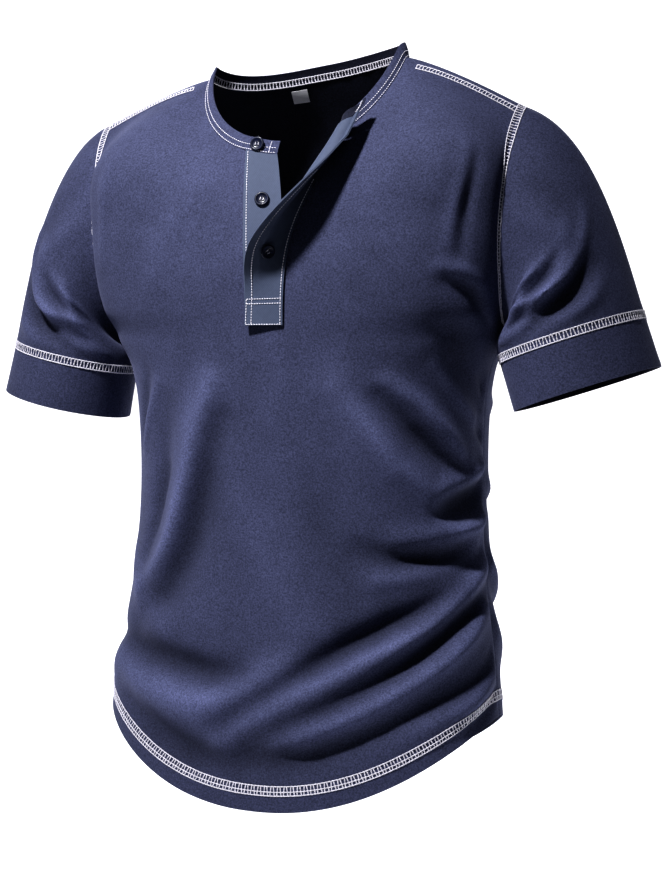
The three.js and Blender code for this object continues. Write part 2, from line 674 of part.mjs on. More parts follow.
function neckBandPoint(i, j) {
  const { at, lean, k } = neckPath[i];
  const inward = new THREE.Vector3(-at.x, -at.y, 0).normalize();
  const { up, towards } = lean === 'back' ? BAND_RISE.back : BAND_RISE.front;
  const rise = new THREE.Vector3(0, 0, up).addScaledVector(inward, towards).normalize();
  if (lean === 'flap') {
    const t = k / BAND_COLUMNS;
    const flap = bandPoint(1, t).sub(bandPoint(bandLevelAt(SLOT_ROWS - 1), t)).normalize();
    rise.lerp(flap, smooth(t + FLAP_JOIN)).normalize();
  }
  const foot = lean === 'flap' ? FLAP_SEAM : BAND_SEAM;
  return at.clone().addScaledVector(rise, mix(foot, BAND_HEIGHT, j / BAND_ROWS));
}

shirt.add(named('neckband', clothWall({
  columns: neckPath.length - 1,
  rows: BAND_ROWS,
  outer: neckBandPoint,
  out: (i, j) => gridOut(neckBandPoint, i, j, neckPath.length - 1, BAND_ROWS, -1),
  thickness: BAND_WALL,
  outSign: -1,
}), NAVY, 0.9));

// Buttons: a dished disc with four holes, its face along +Z before it is turned
function circlePoints(radius, sides, x = 0, y = 0) {
  return Array.from({ length: sides }, (_, k) => {
    const turn = k / sides * Math.PI * 2;
    return new THREE.Vector2(x + radius * Math.cos(turn), y + radius * Math.sin(turn));
  });
}

function buttonGeometry() {
  const disc = new THREE.Shape(circlePoints(BUTTON_RADIUS - BUTTON_BEVEL, BUTTON_SIDES));
  for (let k = 0; k < 4; k += 1) {
    const turn = (k + 0.5) * Math.PI / 2;
    const x = BUTTON_HOLE_SPREAD * Math.cos(turn);
    const y = BUTTON_HOLE_SPREAD * Math.sin(turn);
    disc.holes.push(new THREE.Path(circlePoints(BUTTON_HOLE_RADIUS, BUTTON_HOLE_SIDES, x, y)));
  }
  const depth = BUTTON_THICK - 2 * BUTTON_BEVEL;
  return new THREE.ExtrudeGeometry(disc, {
    depth, steps: 1, bevelEnabled: true, bevelSegments: 1,
    bevelSize: BUTTON_BEVEL, bevelThickness: BUTTON_BEVEL, bevelOffset: 0,
  }).translate(0, 0, BUTTON_BEVEL);
}

function addButton(name, at, out, shank) {
  const button = named(name, buttonGeometry(), DARK_BUTTON, 0.3);
  button.position.copy(at).addScaledVector(out, shank);
  button.quaternion.setFromUnitVectors(new THREE.Vector3(0, 0, 1), out);
  shirt.add(button);
}

const NECK_BUTTON_STEP = 2;
const STAND_BUTTON_HEIGHT = -136;
const BAND_BUTTON_HEIGHT = -186;

// The way a strip faces at one height, halfway across it.
function facing(pointAt, level, acrossSign) {
  const wide = pointAt(level, 0.6).sub(pointAt(level, 0.4)).multiplyScalar(acrossSign);
  const high = pointAt(level + 0.01, 0.5).sub(pointAt(level - 0.01, 0.5));
  return wide.cross(high).normalize();
}

const standLevel = levelAtHeight(STAND_BUTTON_HEIGHT);
const bandLevel = levelAtHeight(BAND_BUTTON_HEIGHT);
addButton('button_1', neckBandPoint(NECK_BUTTON_STEP, 1),
  gridOut(neckBandPoint, NECK_BUTTON_STEP, 1, neckPath.length - 1, BAND_ROWS, -1), SHANK.neck);
addButton('button_2', standPoint(standLevel, 0.5), facing(standPoint, standLevel, 1), SHANK.stand);
addButton('button_3', bandPoint(bandLevel, 0.5), facing(bandPoint, bandLevel, -1), SHANK.band);

// A bare size label, hung inside the back of the neck
const LABEL = { x: -32, width: 16, height: 14, below: 4, wall: 1, gap: 1 };

function labelPoint(i, j) {
  const x = LABEL.x + (i / 2 - 0.5) * LABEL.width;
  const across = Math.asin(x / NECK_HALF) / (Math.PI / 2) * NECK_ACROSS;
  const perMm = 0.01 / plainPoint('back', across, 1).distanceTo(plainPoint('back', across, 0.99));
  const level = 1 - (LABEL.below + LABEL.height * (1 - j / 2)) * perMm;
  return panelPoint('back', across, level)
    .addScaledVector(panelOut('back', across, level), -JERSEY_WALL - LABEL.gap);
}

shirt.add(named('size_label', clothWall({
  columns: 2,
  rows: 2,
  outer: labelPoint,
  out: (i, j) => gridOut(labelPoint, i, j, 2, 2, -1),
  thickness: LABEL.wall,
  outSign: -1,
}), LABEL_CLOTH, 0.8));

export default shirt;
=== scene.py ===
# Henley shirt: a navy brushed jersey shirt with short sleeves, a slate placket worn open at the
# neck, dark buttons and pale flatlock seams, in its worn, hollow form.

from collections import namedtuple
from math import pi, radians, tau

import bpy
import numpy as np
from bpy.props import FloatProperty, FloatVectorProperty, PointerProperty
from mathutils import Matrix, Vector
from mathutils.bvhtree import BVHTree


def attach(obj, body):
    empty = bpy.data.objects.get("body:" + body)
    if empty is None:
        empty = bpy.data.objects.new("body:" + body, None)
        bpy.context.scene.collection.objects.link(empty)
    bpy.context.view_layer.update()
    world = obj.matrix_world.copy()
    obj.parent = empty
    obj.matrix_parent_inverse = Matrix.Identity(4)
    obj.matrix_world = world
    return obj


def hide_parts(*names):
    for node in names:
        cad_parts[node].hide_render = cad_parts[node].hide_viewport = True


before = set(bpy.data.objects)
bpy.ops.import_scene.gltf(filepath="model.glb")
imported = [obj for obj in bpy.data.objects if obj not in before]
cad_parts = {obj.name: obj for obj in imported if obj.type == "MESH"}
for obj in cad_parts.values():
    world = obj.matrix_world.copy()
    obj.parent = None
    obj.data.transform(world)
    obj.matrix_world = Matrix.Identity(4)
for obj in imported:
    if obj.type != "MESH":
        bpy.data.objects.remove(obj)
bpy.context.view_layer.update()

bl_info = {
    "name": "Henley Shirt",
    "version": (1, 0, 0),
    "blender": (4, 5, 0),
    "location": "View3D > Sidebar > Henley",
    "description": "Builds a short-sleeved henley shirt with its seams, placket and buttons",
    "category": "Add Mesh",
}

MM = 0.001
BODY = "root"

# Cut of the shirt, in millimetres in the part's own frame: the front faces -Y and +X is the
# wearer's left. The origin is midway between the shoulders at the base of the neck.
NECK_HALF = 103
NECK_DROP = {"front": 92, "back": 8}
NECK_REACH = {"front": -78, "back": 58}
NECK_RIGHT_DROP = 11
NECK_BACK_TILT = 7
NECK_SIDE_ROUND = 0.94
NECK_DROP_ROUND = 1.15
SHOULDER_CURVE = 1.25
SHOULDER_SEAM_Y = -8
SHOULDER_TIP = (216, -4, -50)
NECK_ACROSS = 0.52
ARMPIT_LEVEL = 0.62
ARMHOLE_BOW = {"front": -54, "back": 57}
BOW_ROUNDNESS = 0.7
BOW_START = 0.12
GIRTH_QUARTER = 262

Section = namedtuple("Section", "name level half edge_y edge_z front front_z back back_z lift square")
SECTIONS = [
    Section("hem", 0.00, 200, -14, -622, -136, -704, 100, -706, 0, 2.15),
    Section("seat", 0.11, 193, -6, -560, -128, -624, 106, -626, 0, 2.15),
    Section("hip", 0.24, 182, 2, -490, -116, -528, 112, -532, 0, 2.20),
    Section("waist", 0.37, 177, 8, -412, -108, -432, 114, -434, 0, 2.25),
    Section("ribs", 0.50, 178, 6, -335, -106, -345, 117, -346, 0, 2.30),
    Section("under armpit", 0.57, 185, 3, -292, -107, -302, 118, -300, 0, 2.30),
    Section("armpit", 0.62, 199, 0, -262, -108, -268, 118, -264, 0, 2.35),
    Section("low armhole", 0.70, 205, 0, -226, -108, -226, 120, -206, 8, 2.35),
    Section("mid armhole", 0.80, 208, 0, -164, -104, -182, 116, -142, 16, 2.30),
    Section("high armhole", 0.90, 211, 0, -104, -93, -138, 98, -76, 34, 2.20),
]

# Folds of the panels. Each path's points are (distance along the cloth from the middle of the
# panel towards the wearer's left, height). A negative rise is a trough.
Fold = namedtuple("Fold", "name rise width path")
FOLD_END = 0.35
FOLD_FADE = (0.06, 0.94)
FLAT_SIDE = 0.06
FLAT_TOP = 0.08
FRONT_FOLDS = [
    Fold("upper drape from left side", 9, 17,
         [(262, -486), (210, -502), (131, -544), (68, -587), (10, -628), (-26, -648)]),
    Fold("hollow over it", -6, 16, [(186, -512), (118, -530), (79, -548), (39, -572)]),
    Fold("middle drape from left side", 7, 15,
         [(249, -523), (162, -562), (89, -602), (37, -636), (5, -655)]),
    Fold("low drape from left side", 6, 16, [(262, -575), (194, -600), (144, -620), (102, -634)]),
    Fold("swag by right hem", 8, 22, [(-215, -585), (-120, -612), (-55, -617), (20, -580)]),
    Fold("hollow over swag", -5, 18, [(-149, -572), (-86, -582), (-20, -580)]),
    Fold("hollow by right hem", -4, 14, [(-139, -616), (-79, -650), (-29, -668)]),
    Fold("left armpit crease", 5, 17, [(107, -307), (134, -334), (168, -355), (207, -375)]),
    Fold("hollow under armpit crease", -4, 17, [(89, -317), (118, -340), (147, -370), (181, -395)]),
    Fold("left flank roll", 7, 24, [(66, -313), (94, -346), (121, -382), (160, -411), (236, -392)]),
    Fold("left waist pocket", -6, 13, [(176, -428), (250, -412)]),
    Fold("left waist curl", 6, 12, [(120, -452), (181, -447), (228, -444), (262, -427)]),
    Fold("left hip hollow", -5, 13, [(131, -472), (170, -474), (236, -462)]),
    Fold("right flank ridge", 7, 18, [(-50, -309), (-76, -352), (-89, -419), (-102, -470), (-121, -498)]),
    Fold("right flank hollow", -6, 18, [(-50, -402), (-66, -453), (-94, -508), (-150, -540)]),
    Fold("right armpit hollow", -5, 15, [(-107, -330), (-118, -380), (-125, -420)]),
]
BACK_FOLDS = [
    Fold("left armpit crease", 6, 15, [(190, -330), (130, -372), (80, -430)]),
    Fold("right armpit crease", 6, 16, [(-190, -335), (-140, -385), (-100, -450)]),
    Fold("small of the back", -6, 26, [(-60, -400), (0, -420), (70, -405)]),
    Fold("upper drape from left side", 8, 18, [(250, -480), (180, -520), (90, -565), (0, -610)]),
    Fold("hollow over it", -5, 16, [(200, -490), (120, -525), (50, -560)]),
    Fold("low drape from left side", 6, 16, [(250, -540), (170, -585), (90, -622)]),
    Fold("drape from right side", 7, 18, [(-250, -500), (-170, -545), (-90, -600), (-30, -632)]),
    Fold("hollow under it", -5, 16, [(-230, -545), (-150, -590), (-80, -632)]),
    Fold("left blade roll", 5, 22, [(150, -170), (120, -230), (100, -290)]),
    Fold("right blade roll", 5, 22, [(-150, -170), (-122, -235), (-104, -290)]),
]

# Smaller creases that ride on the folds above.
FRONT_CREASES = [
    Fold("hollow over the first drape", -7.5, 11,
         [(199, -500), (156, -514), (113, -531), (75, -550), (45, -571), (17, -592),
          (-12, -610), (-29, -628)]),
    Fold("first drape's crest", 6.0, 10,
         [(262, -470), (216, -491), (179, -512), (139, -533), (88, -558), (52, -580),
          (18, -602), (-35, -645)]),
    Fold("slit under the first drape", -9.5, 11,
         [(246, -504), (227, -511), (182, -531), (138, -558), (88, -588), (54, -608),
          (20, -627), (-4, -642)]),
    Fold("second drape's crest", 5.0, 10,
         [(240, -514), (204, -542), (165, -565), (123, -588), (88, -609), (54, -625), (20, -640)]),
    Fold("slit under the second drape", -7.0, 11,
         [(244, -569), (199, -588), (149, -605), (110, -622), (76, -636), (42, -648), (-5, -655)]),
    Fold("third drape's crest", 3.4, 8, [(262, -564), (228, -586), (196, -603), (162, -612), (123, -624)]),
    Fold("side pleat's foot", -3.6, 8, [(262, -596), (226, -612), (190, -626)]),
    Fold("hollow over the swag", -7.5, 13,
         [(-240, -560), (-151, -566), (-92, -572), (-46, -581), (-20, -580)]),
    Fold("swag's crest", 6.5, 17,
         [(-181, -576), (-127, -590), (-84, -598), (-50, -606), (-26, -603), (26, -571)]),
    Fold("hollow under the swag", -6.0, 15,
         [(-160, -606), (-92, -640), (-60, -655), (-25, -660), (52, -652)]),
    Fold("pocket floor", -7.0, 11, [(165, -423), (194, -416), (229, -410), (262, -404)]),
    Fold("pocket edge", 3.8, 8, [(170, -402), (236, -390), (258, -381)]),
    Fold("waist curl's crest", 4.6, 8, [(169, -438), (190, -444), (214, -442), (249, -436)]),
    Fold("long waist hollow", -7.0, 12, [(88, -461), (124, -468), (166, -468), (206, -462)]),
    Fold("lip of the waist hollow", 4.4, 9, [(100, -489), (141, -482), (190, -473), (246, -455)]),
    Fold("thin armpit ridge", 4.6, 8, [(107, -303), (145, -326), (169, -347), (195, -369)]),
    Fold("slit under armpit ridge", -6.0, 10, [(100, -318), (130, -346), (160, -369), (204, -392)]),
    Fold("second armpit ridge", 3.4, 8, [(150, -290), (182, -318), (225, -338)]),
    Fold("shaded side under the arm", -5.0, 16, [(144, -256), (178, -284), (233, -323)]),
    Fold("side notch", -3.6, 7, [(228, -300), (262, -318)]),
    Fold("lower side notch", -3.4, 7, [(232, -350), (262, -362)]),
    Fold("ridge at the armhole", 4.0, 8, [(140, -200), (174, -204), (207, -218)]),
    Fold("hollow at the armhole", -5.0, 9, [(152, -212), (181, -225), (206, -246)]),
    Fold("flank crest", 3.0, 10, [(66, -313), (94, -346), (121, -382), (160, -411)]),
    Fold("right flank crest", 4.6, 10,
         [(-52, -304), (-67, -352), (-79, -400), (-98, -455), (-119, -484), (-153, -507)]),
    Fold("shade beside the right flank", -5.0, 12,
         [(-42, -342), (-62, -399), (-83, -468), (-111, -511), (-140, -528)]),
    Fold("hollow outside the right flank", -5.0, 9,
         [(-112, -390), (-124, -417), (-130, -444), (-147, -474)]),
    Fold("right side thin ridge", 3.4, 7, [(-118, -308), (-140, -340), (-160, -372)]),
    Fold("right side slit", -3.6, 8, [(-132, -300), (-154, -336), (-176, -372)]),
    Fold("right hip bulge", 4.0, 16, [(-190, -480), (-150, -520), (-110, -540)]),
    Fold("belly drag", 2.0, 16, [(-20, -420), (0, -470), (26, -520), (60, -552)]),
    Fold("belly hollow", -2.6, 17, [(40, -400), (56, -450), (84, -500)]),
    Fold("left of placket drag", 1.6, 12, [(-60, -120), (-90, -170), (-110, -240)]),
    Fold("armhole drag's shade", -3.2, 9, [(180, -100), (173, -149), (168, -184)]),
    Fold("armhole drag", 2.2, 9, [(166, -96), (159, -144), (152, -180)]),
    Fold("right shoulder drag", 1.8, 9, [(-150, -90), (-168, -130), (-176, -190)]),
    Fold("under placket drag", 1.4, 12, [(10, -262), (14, -300), (6, -350)]),
]
BACK_CREASES = [
    Fold("left side slit", -4.4, 10, [(230, -420), (170, -440), (110, -462)]),
    Fold("left side ridge", 3.4, 9, [(240, -404), (180, -420), (120, -440)]),
    Fold("right side slit", -4.2, 10, [(-235, -430), (-170, -462), (-120, -500)]),
    Fold("right side ridge", 3.4, 9, [(-245, -410), (-180, -440), (-130, -470)]),
    Fold("left armpit crest", 3.6, 9, [(190, -330), (130, -372), (80, -430)]),
    Fold("left armpit foot", -4.6, 10, [(190, -346), (130, -390), (84, -446)]),
    Fold("right armpit crest", 3.6, 9, [(-190, -335), (-140, -385), (-100, -450)]),
    Fold("right armpit foot", -4.6, 10, [(-190, -352), (-142, -402), (-104, -466)]),
    Fold("upper drape's crest", 3.2, 9, [(250, -480), (180, -520), (90, -565), (0, -610)]),
    Fold("upper drape's foot", -5.5, 11, [(246, -498), (178, -540), (90, -584), (8, -626)]),
    Fold("drape from right crest", 3.2, 10, [(-250, -500), (-170, -545), (-90, -600), (-30, -632)]),
    Fold("drape from right foot", -4.6, 10, [(-250, -518), (-172, -562), (-92, -617), (-40, -645)]),
    Fold("seat slit", -3.6, 9, [(200, -560), (120, -600), (40, -640)]),
    Fold("yoke drag left", 1.8, 9, [(60, -40), (95, -80), (130, -130)]),
    Fold("yoke drag right", 1.8, 9, [(-60, -46), (-96, -86), (-134, -140)]),
    Fold("small of back ridge", 3.0, 10, [(-90, -440), (-20, -455), (60, -448)]),
    Fold("small of back slit", -3.4, 10, [(-86, -456), (-18, -472), (56, -464)]),
]

# Sleeves. In their folds the first number runs round from the armpit over the front, the
# shoulder and the back, and the second is minus the distance from the armhole.
Sleeve = namedtuple("Sleeve", "name side cuff_x cuff_y cuff_z across deep lean")
SLEEVES = [
    Sleeve("left", 1, 264, -4, -264, 70, 64, 18),
    Sleeve("right", -1, 259, -2, -284, 64, 62, 13),
]
SLEEVE_FOLDS = [
    Fold("front crease", 5, 12, [(150, -92), (128, -125), (95, -150), (60, -172)]),
    Fold("hollow under it", -4, 11, [(160, -122), (128, -152), (90, -172)]),
    Fold("armpit crease", 5, 11, [(96, -88), (76, -130), (48, -165)]),
    Fold("back crease", 5, 13, [(278, -95), (310, -130), (350, -165)]),
    Fold("back hollow", -4, 12, [(262, -125), (300, -158), (340, -178)]),
]
SLEEVE_CREASES = [
    Fold("long ridge", 5.0, 8, [(176, -96), (158, -117), (134, -135), (113, -138), (70, -122)]),
    Fold("shade under long ridge", -5.5, 10, [(166, -138), (134, -154), (102, -154), (67, -150)]),
    Fold("short ridge", 4.0, 8, [(118, -96), (89, -95), (67, -89)]),
    Fold("shade between ridges", -4.0, 8, [(137, -105), (117, -117), (97, -120)]),
    Fold("ridge over the cuff", 4.0, 8, [(160, -158), (148, -167), (127, -177), (99, -180)]),
    Fold("cap drag", 1.8, 10, [(120, -20), (132, -60), (140, -95)]),
    Fold("cap hollow", -1.8, 11, [(150, -24), (160, -60), (166, -92)]),
    Fold("back slit", -4.2, 9, [(290, -118), (320, -146), (360, -170)]),
    Fold("back crest", 3.0, 8, [(278, -95), (310, -130), (350, -165)]),
]
SLEEVE_GIRTH = 428
SLEEVE_LENGTH = 190
FLAT_ARMHOLE = 0.2
FLAT_CUFF = 0.12
CUFF_DEPTH = 50
CUFF_FLARE = 0.02
CUFF_WAVE = 0.75
CUFF_WAVES = 3
# How the sleeve leaves the armhole and comes to the cuff, under the arm and over the shoulder.
LEAVE_OUT = (0.62, 0.93)
LEAVE_UP = (-0.78, -0.3)
LEAVE_FRONT = 0.16
SLEEVE_PULL = 215
PULL_AT_ARMHOLE = (0.5, 1)
PULL_AT_CUFF = (0.55, 1)

# Placket and neckband
PLACKET_WIDTH = 37
PLACKET_BOTTOM = -250
SEAM_ALLOWANCE = 3
SLOT_ACROSS = 0.05
SLOT_OPEN = {-1: 28, 1: 59}
SLOT_PARTING = {-1: 1.6, 1: 3.0}
FOOT_LAP = 0.005
LAY_GAP = 0.4
JERSEY_WALL = 1.8
BAND_WALL = 2.0
BAND_HEIGHT = 15
# How far the buttonhole band is turned out, in degrees, and dropped at heights over its foot.
Swing = namedtuple("Swing", "name up swing drop")
BAND_SWING = [
    Swing("foot", 0, 0, 0),
    Swing("box top", 27, 0, 0),
    Swing("under last button", 44, 8, 0),
    Swing("last button", 66, 34, 0),
    Swing("turning", 84, 62, 2),
    Swing("standing", 104, 88, 4),
    Swing("leaning back", 118, 104, 6),
    Swing("below the neckband", 138, 122, 10),
    Swing("neck", 160, 134, 14),
]
BEND_SPEED = 1.6
STAND_BUTTON_HEIGHT = -136
BAND_BUTTON_HEIGHT = -186
Label = namedtuple("Label", "x width height below wall gap bulge")
LABEL = Label(-32, 16, 14, 4, 0.7, 1, 0.5)


def hex_colour(text):
    """A hex sRGB colour as linear red, green, blue and alpha."""
    parts = [int(text[k:k + 2], 16) / 255 for k in (1, 3, 5)]
    return tuple(c / 12.92 if c <= 0.04045 else ((c + 0.055) / 1.055) ** 2.4 for c in parts) + (1.0,)


def mix(a, b, t):
    return a + (b - a) * t


def smooth(t):
    c = np.clip(t, 0, 1)
    return c * c * (3 - 2 * c)


def unit(v):
    return v / np.maximum(np.linalg.norm(v, axis=-1, keepdims=True), 1e-9)


def through(levels, rows, level):
    """A smooth curve through rows of values, at any array of levels."""
    levels = np.asarray(levels, float)
    rows = np.stack(rows)
    last = len(levels) - 1
    before = np.maximum(np.arange(last + 1) - 1, 0)
    after = np.minimum(np.arange(last + 1) + 1, last)
    spans = (levels[after] - levels[before]).reshape((-1,) + (1,) * (rows.ndim - 1))
    slopes = (rows[after] - rows[before]) / spans
    k = np.clip(np.searchsorted(levels, level, side="right") - 1, 0, last - 1)
    span = levels[k + 1] - levels[k]
    t = (level - levels[k]) / span
    pick = k[None]
    if rows.ndim > pick.ndim:
        pick, span, t = k[None, ..., None], span[..., None], t[..., None]

    def at(values, index):
        return np.take_along_axis(values, index, 0)[0]

    return (at(rows, pick) * (2 * t**3 - 3 * t**2 + 1) + at(slopes, pick) * (t**3 - 2 * t**2 + t) * span
            + at(rows, pick + 1) * (3 * t**2 - 2 * t**3) + at(slopes, pick + 1) * (t**3 - t**2) * span)


def section_points(section, face, across):
    turn = across * pi / 2
    wide, deep = np.sin(turn), np.cos(turn)
    reach = (np.abs(wide) ** section.square + np.abs(deep) ** section.square) ** (-1 / section.square)
    wide, deep = wide * reach, deep * reach
    centre_y = section.front if face == "front" else section.back
    centre_z = section.front_z if face == "front" else section.back_z
    lift = section.lift * np.sin(across * pi) ** 2
    return np.stack([
        section.half * wide,
        mix(section.edge_y, centre_y, deep),
        mix(section.edge_z, centre_z, deep * np.abs(deep)) + lift,
    ], -1)


def top_points(face, across):
    """The shoulder seams and, between them, the neckline."""
    out = np.abs(across)
    side = np.where(across < 0, -1.0, 1.0)
    t = (out - NECK_ACROSS) / (1 - NECK_ACROSS)
    neck_z = np.where(side < 0, -NECK_RIGHT_DROP, 0)
    seam = np.stack([
        side * mix(NECK_HALF, SHOULDER_TIP[0], t),
        mix(SHOULDER_SEAM_Y, SHOULDER_TIP[1], t),
        mix(neck_z, SHOULDER_TIP[2], np.sign(t) * np.abs(t) ** SHOULDER_CURVE),
    ], -1)
    turn = np.clip(out / NECK_ACROSS, 0, 1) * pi / 2
    tilt = 0 if face == "front" else side * NECK_BACK_TILT * np.sin(2 * turn)
    neckline = np.stack([
        side * NECK_HALF * np.sin(turn) ** NECK_SIDE_ROUND,
        mix(SHOULDER_SEAM_Y, NECK_REACH[face], np.cos(turn)),
        -NECK_DROP[face] * np.cos(turn) ** NECK_DROP_ROUND + neck_z * np.sin(turn) ** 2 + tilt,
    ], -1)
    return np.where((out >= NECK_ACROSS)[..., None], seam, neckline)


def plain_panel(face, across, level):
    """A panel without its folds. across is -1 to 1 and level is 0 at the hem and 1 at the top."""
    across, level = np.broadcast_arrays(np.asarray(across, float), np.asarray(level, float))
    rows = [section_points(section, face, across) for section in SECTIONS] + [top_points(face, across)]
    at = through([section.level for section in SECTIONS] + [1.0], rows, level)
    up = np.clip((level - ARMPIT_LEVEL) / (1 - ARMPIT_LEVEL), 0, 1)
    near_edge = 1 - np.cos(across * pi / 2)
    start = np.sqrt(smooth(up / BOW_START))
    at[..., 1] += ARMHOLE_BOW[face] * np.sin(pi * up) ** BOW_ROUNDNESS * near_edge * start
    return at


def fold_rise(folds, around, up):
    """Height of all the folds at places on the cloth."""
    rise = np.zeros(np.broadcast(around, up).shape)
    for fold in folds:
        nearest = np.full(rise.shape, np.inf)
        along = np.zeros(rise.shape)
        pieces = len(fold.path) - 1
        for k in range(pieces):
            (ax, az), (bx, bz) = fold.path[k], fold.path[k + 1]
            size = (bx - ax) ** 2 + (bz - az) ** 2
            t = np.clip(((around - ax) * (bx - ax) + (up - az) * (bz - az)) / size, 0, 1)
            off = np.hypot(around - mix(ax, bx, t), up - mix(az, bz, t))
            along = np.where(off < nearest, (k + t) / pieces, along)
            nearest = np.minimum(off, nearest)
        fade = FOLD_END + (1 - FOLD_END) * np.sin(pi * mix(*FOLD_FADE, along))
        rise += fold.rise * fade * np.exp(-((nearest / fold.width) ** 2))
    return rise


def facing(point_at, u, v, sign, step=0.004):
    """The direction out of a surface, and its two directions along it."""
    wide = point_at(u + step, v) - point_at(u - step, v)
    high = point_at(u, np.minimum(1, v + step)) - point_at(u, np.maximum(0, v - step))
    return unit(np.cross(wide, high)) * sign, unit(wide), unit(high)


def panel_rise(folds, across, level, height):
    edge = smooth((1 - np.abs(across)) / FLAT_SIDE) * smooth((1 - level) / FLAT_TOP)
    return fold_rise(folds, across * GIRTH_QUARTER, height) * edge


def panel(face, across, level):
    at = plain_panel(face, across, level)
    folds = FRONT_FOLDS + FRONT_CREASES if face == "front" else BACK_FOLDS + BACK_CREASES
    rise = panel_rise(folds, across, level, at[..., 2])
    out = facing(lambda a, l: plain_panel(face, a, l), across, level, 1 if face == "front" else -1)[0]
    return at + out * rise[..., None]


def panel_out(face, across, level):
    return facing(lambda a, l: panel(face, a, l), across, level, 1 if face == "front" else -1)


def level_at_height(height):
    """Where the middle column of the front reaches a height."""
    levels = np.linspace(0, 1, 2001)
    heights = plain_panel("front", np.zeros(2001), levels)[:, 2]
    return float(np.interp(height, heights, levels))


SLOT_LEVEL = level_at_height(PLACKET_BOTTOM)


def slot_edge(side, level):
    """An edge of the front's slot, which parts towards the neck."""
    up = np.clip((level - SLOT_LEVEL) / (1 - SLOT_LEVEL), 0, 1)
    neck = np.arcsin(SLOT_OPEN[side] / NECK_HALF) / (pi / 2) * NECK_ACROSS
    return side * mix(SLOT_ACROSS, neck, up ** SLOT_PARTING[side])


def across_per_mm(level):
    zero = np.zeros_like(level)
    span = plain_panel("front", zero + 0.01, level) - plain_panel("front", zero, level)
    return 0.01 / np.linalg.norm(span, axis=-1)


# Sleeves and cuffs: turn runs round from the armpit, 0 to 1, and t from the armhole down.
ROUND_STEP = 1 / 24


def arm_frame(sleeve):
    lean = radians(sleeve.lean)
    down = np.array([sleeve.side * np.sin(lean), 0, -np.cos(lean)])
    outward = np.array([sleeve.side * np.cos(lean), 0, np.sin(lean)])
    centre = np.array([sleeve.side * sleeve.cuff_x, sleeve.cuff_y, sleeve.cuff_z])
    return down, outward, centre


def round_armhole(point_at, side, turn, top=1.0):
    """Points at places round an armhole, from the front panel up to the shoulder and then the back."""
    across = np.full(turn.shape, float(side))
    front = point_at("front", across, mix(ARMPIT_LEVEL, top, np.minimum(turn * 2, 1)))
    back = point_at("back", across, mix(ARMPIT_LEVEL, top, np.minimum(2 - turn * 2, 1)))
    return np.where((turn <= 0.5)[..., None], front, back)


def armhole(side, turn):
    return round_armhole(plain_panel, side, np.mod(turn, 1))


def plain_sleeve(sleeve, turn, t):
    turn, t = np.broadcast_arrays(np.asarray(turn, float), np.asarray(t, float))
    down, outward, centre = arm_frame(sleeve)
    angle = (turn * tau)[..., None]
    top = (1 - np.cos(angle)) / 2
    end = centre - outward * sleeve.across * np.cos(angle) - np.array([0, sleeve.deep, 0]) * np.sin(angle)
    leave = unit(np.concatenate([
        sleeve.side * mix(*LEAVE_OUT, top), -LEAVE_FRONT * np.sin(angle), mix(*LEAVE_UP, top)], -1))
    pull = mix(*PULL_AT_ARMHOLE, top) * SLEEVE_PULL
    arrive = mix(*PULL_AT_CUFF, top) * SLEEVE_PULL
    t = t[..., None]
    return (armhole(sleeve.side, turn) * (2 * t**3 - 3 * t**2 + 1) + leave * (t**3 - 2 * t**2 + t) * pull
            + end * (3 * t**2 - 2 * t**3) + down * (t**3 - t**2) * arrive)


def tube_out(point_at, turn, t, sign, step=ROUND_STEP):
    wide = point_at(turn + step, t) - point_at(turn - step, t)
    long = point_at(turn, np.minimum(1, t + 0.01)) - point_at(turn, np.maximum(0, t - 0.01))
    return unit(np.cross(wide, long)) * sign


def sleeve_rise(turn, t):
    ends = smooth(t / FLAT_ARMHOLE) * smooth((1 - t) / FLAT_CUFF)
    return fold_rise(SLEEVE_FOLDS + SLEEVE_CREASES, np.mod(turn, 1) * SLEEVE_GIRTH, -t * SLEEVE_LENGTH) * ends


def sleeve_points(sleeve, turn, t):
    turn, t = np.broadcast_arrays(np.asarray(turn, float), np.asarray(t, float))
    rise = sleeve_rise(turn, t)
    out = tube_out(lambda a, b: plain_sleeve(sleeve, a, b), turn, t, -sleeve.side)
    return plain_sleeve(sleeve, turn, t) + out * rise[..., None]


def cuff_points(sleeve, turn, t):
    turn, t = np.broadcast_arrays(np.asarray(turn, float), np.asarray(t, float))
    down, outward, centre = arm_frame(sleeve)
    start = sleeve_points(sleeve, turn, np.ones_like(t)) - centre
    wave = CUFF_WAVE * t * np.sin(turn * tau * CUFF_WAVES + sleeve.side)
    t = t[..., None]
    return centre + start * (1 + CUFF_FLARE * t) + down * CUFF_DEPTH * t + outward * wave[..., None]


# Placket
def stand(level, t, lifted=0.0):
    """The button stand: t runs from its seam on the wearer's right to its free edge."""
    level, t = np.broadcast_arrays(np.asarray(level, float), np.asarray(t, float))
    wide = mix(-SEAM_ALLOWANCE, PLACKET_WIDTH - SEAM_ALLOWANCE, t)
    across = slot_edge(-1, level) + wide * across_per_mm(level)
    out = mix(LAY_GAP + BAND_WALL, -JERSEY_WALL - LAY_GAP, smooth(t)) + lifted
    return panel("front", across, level) + panel_out("front", across, level)[0] * out[..., None]


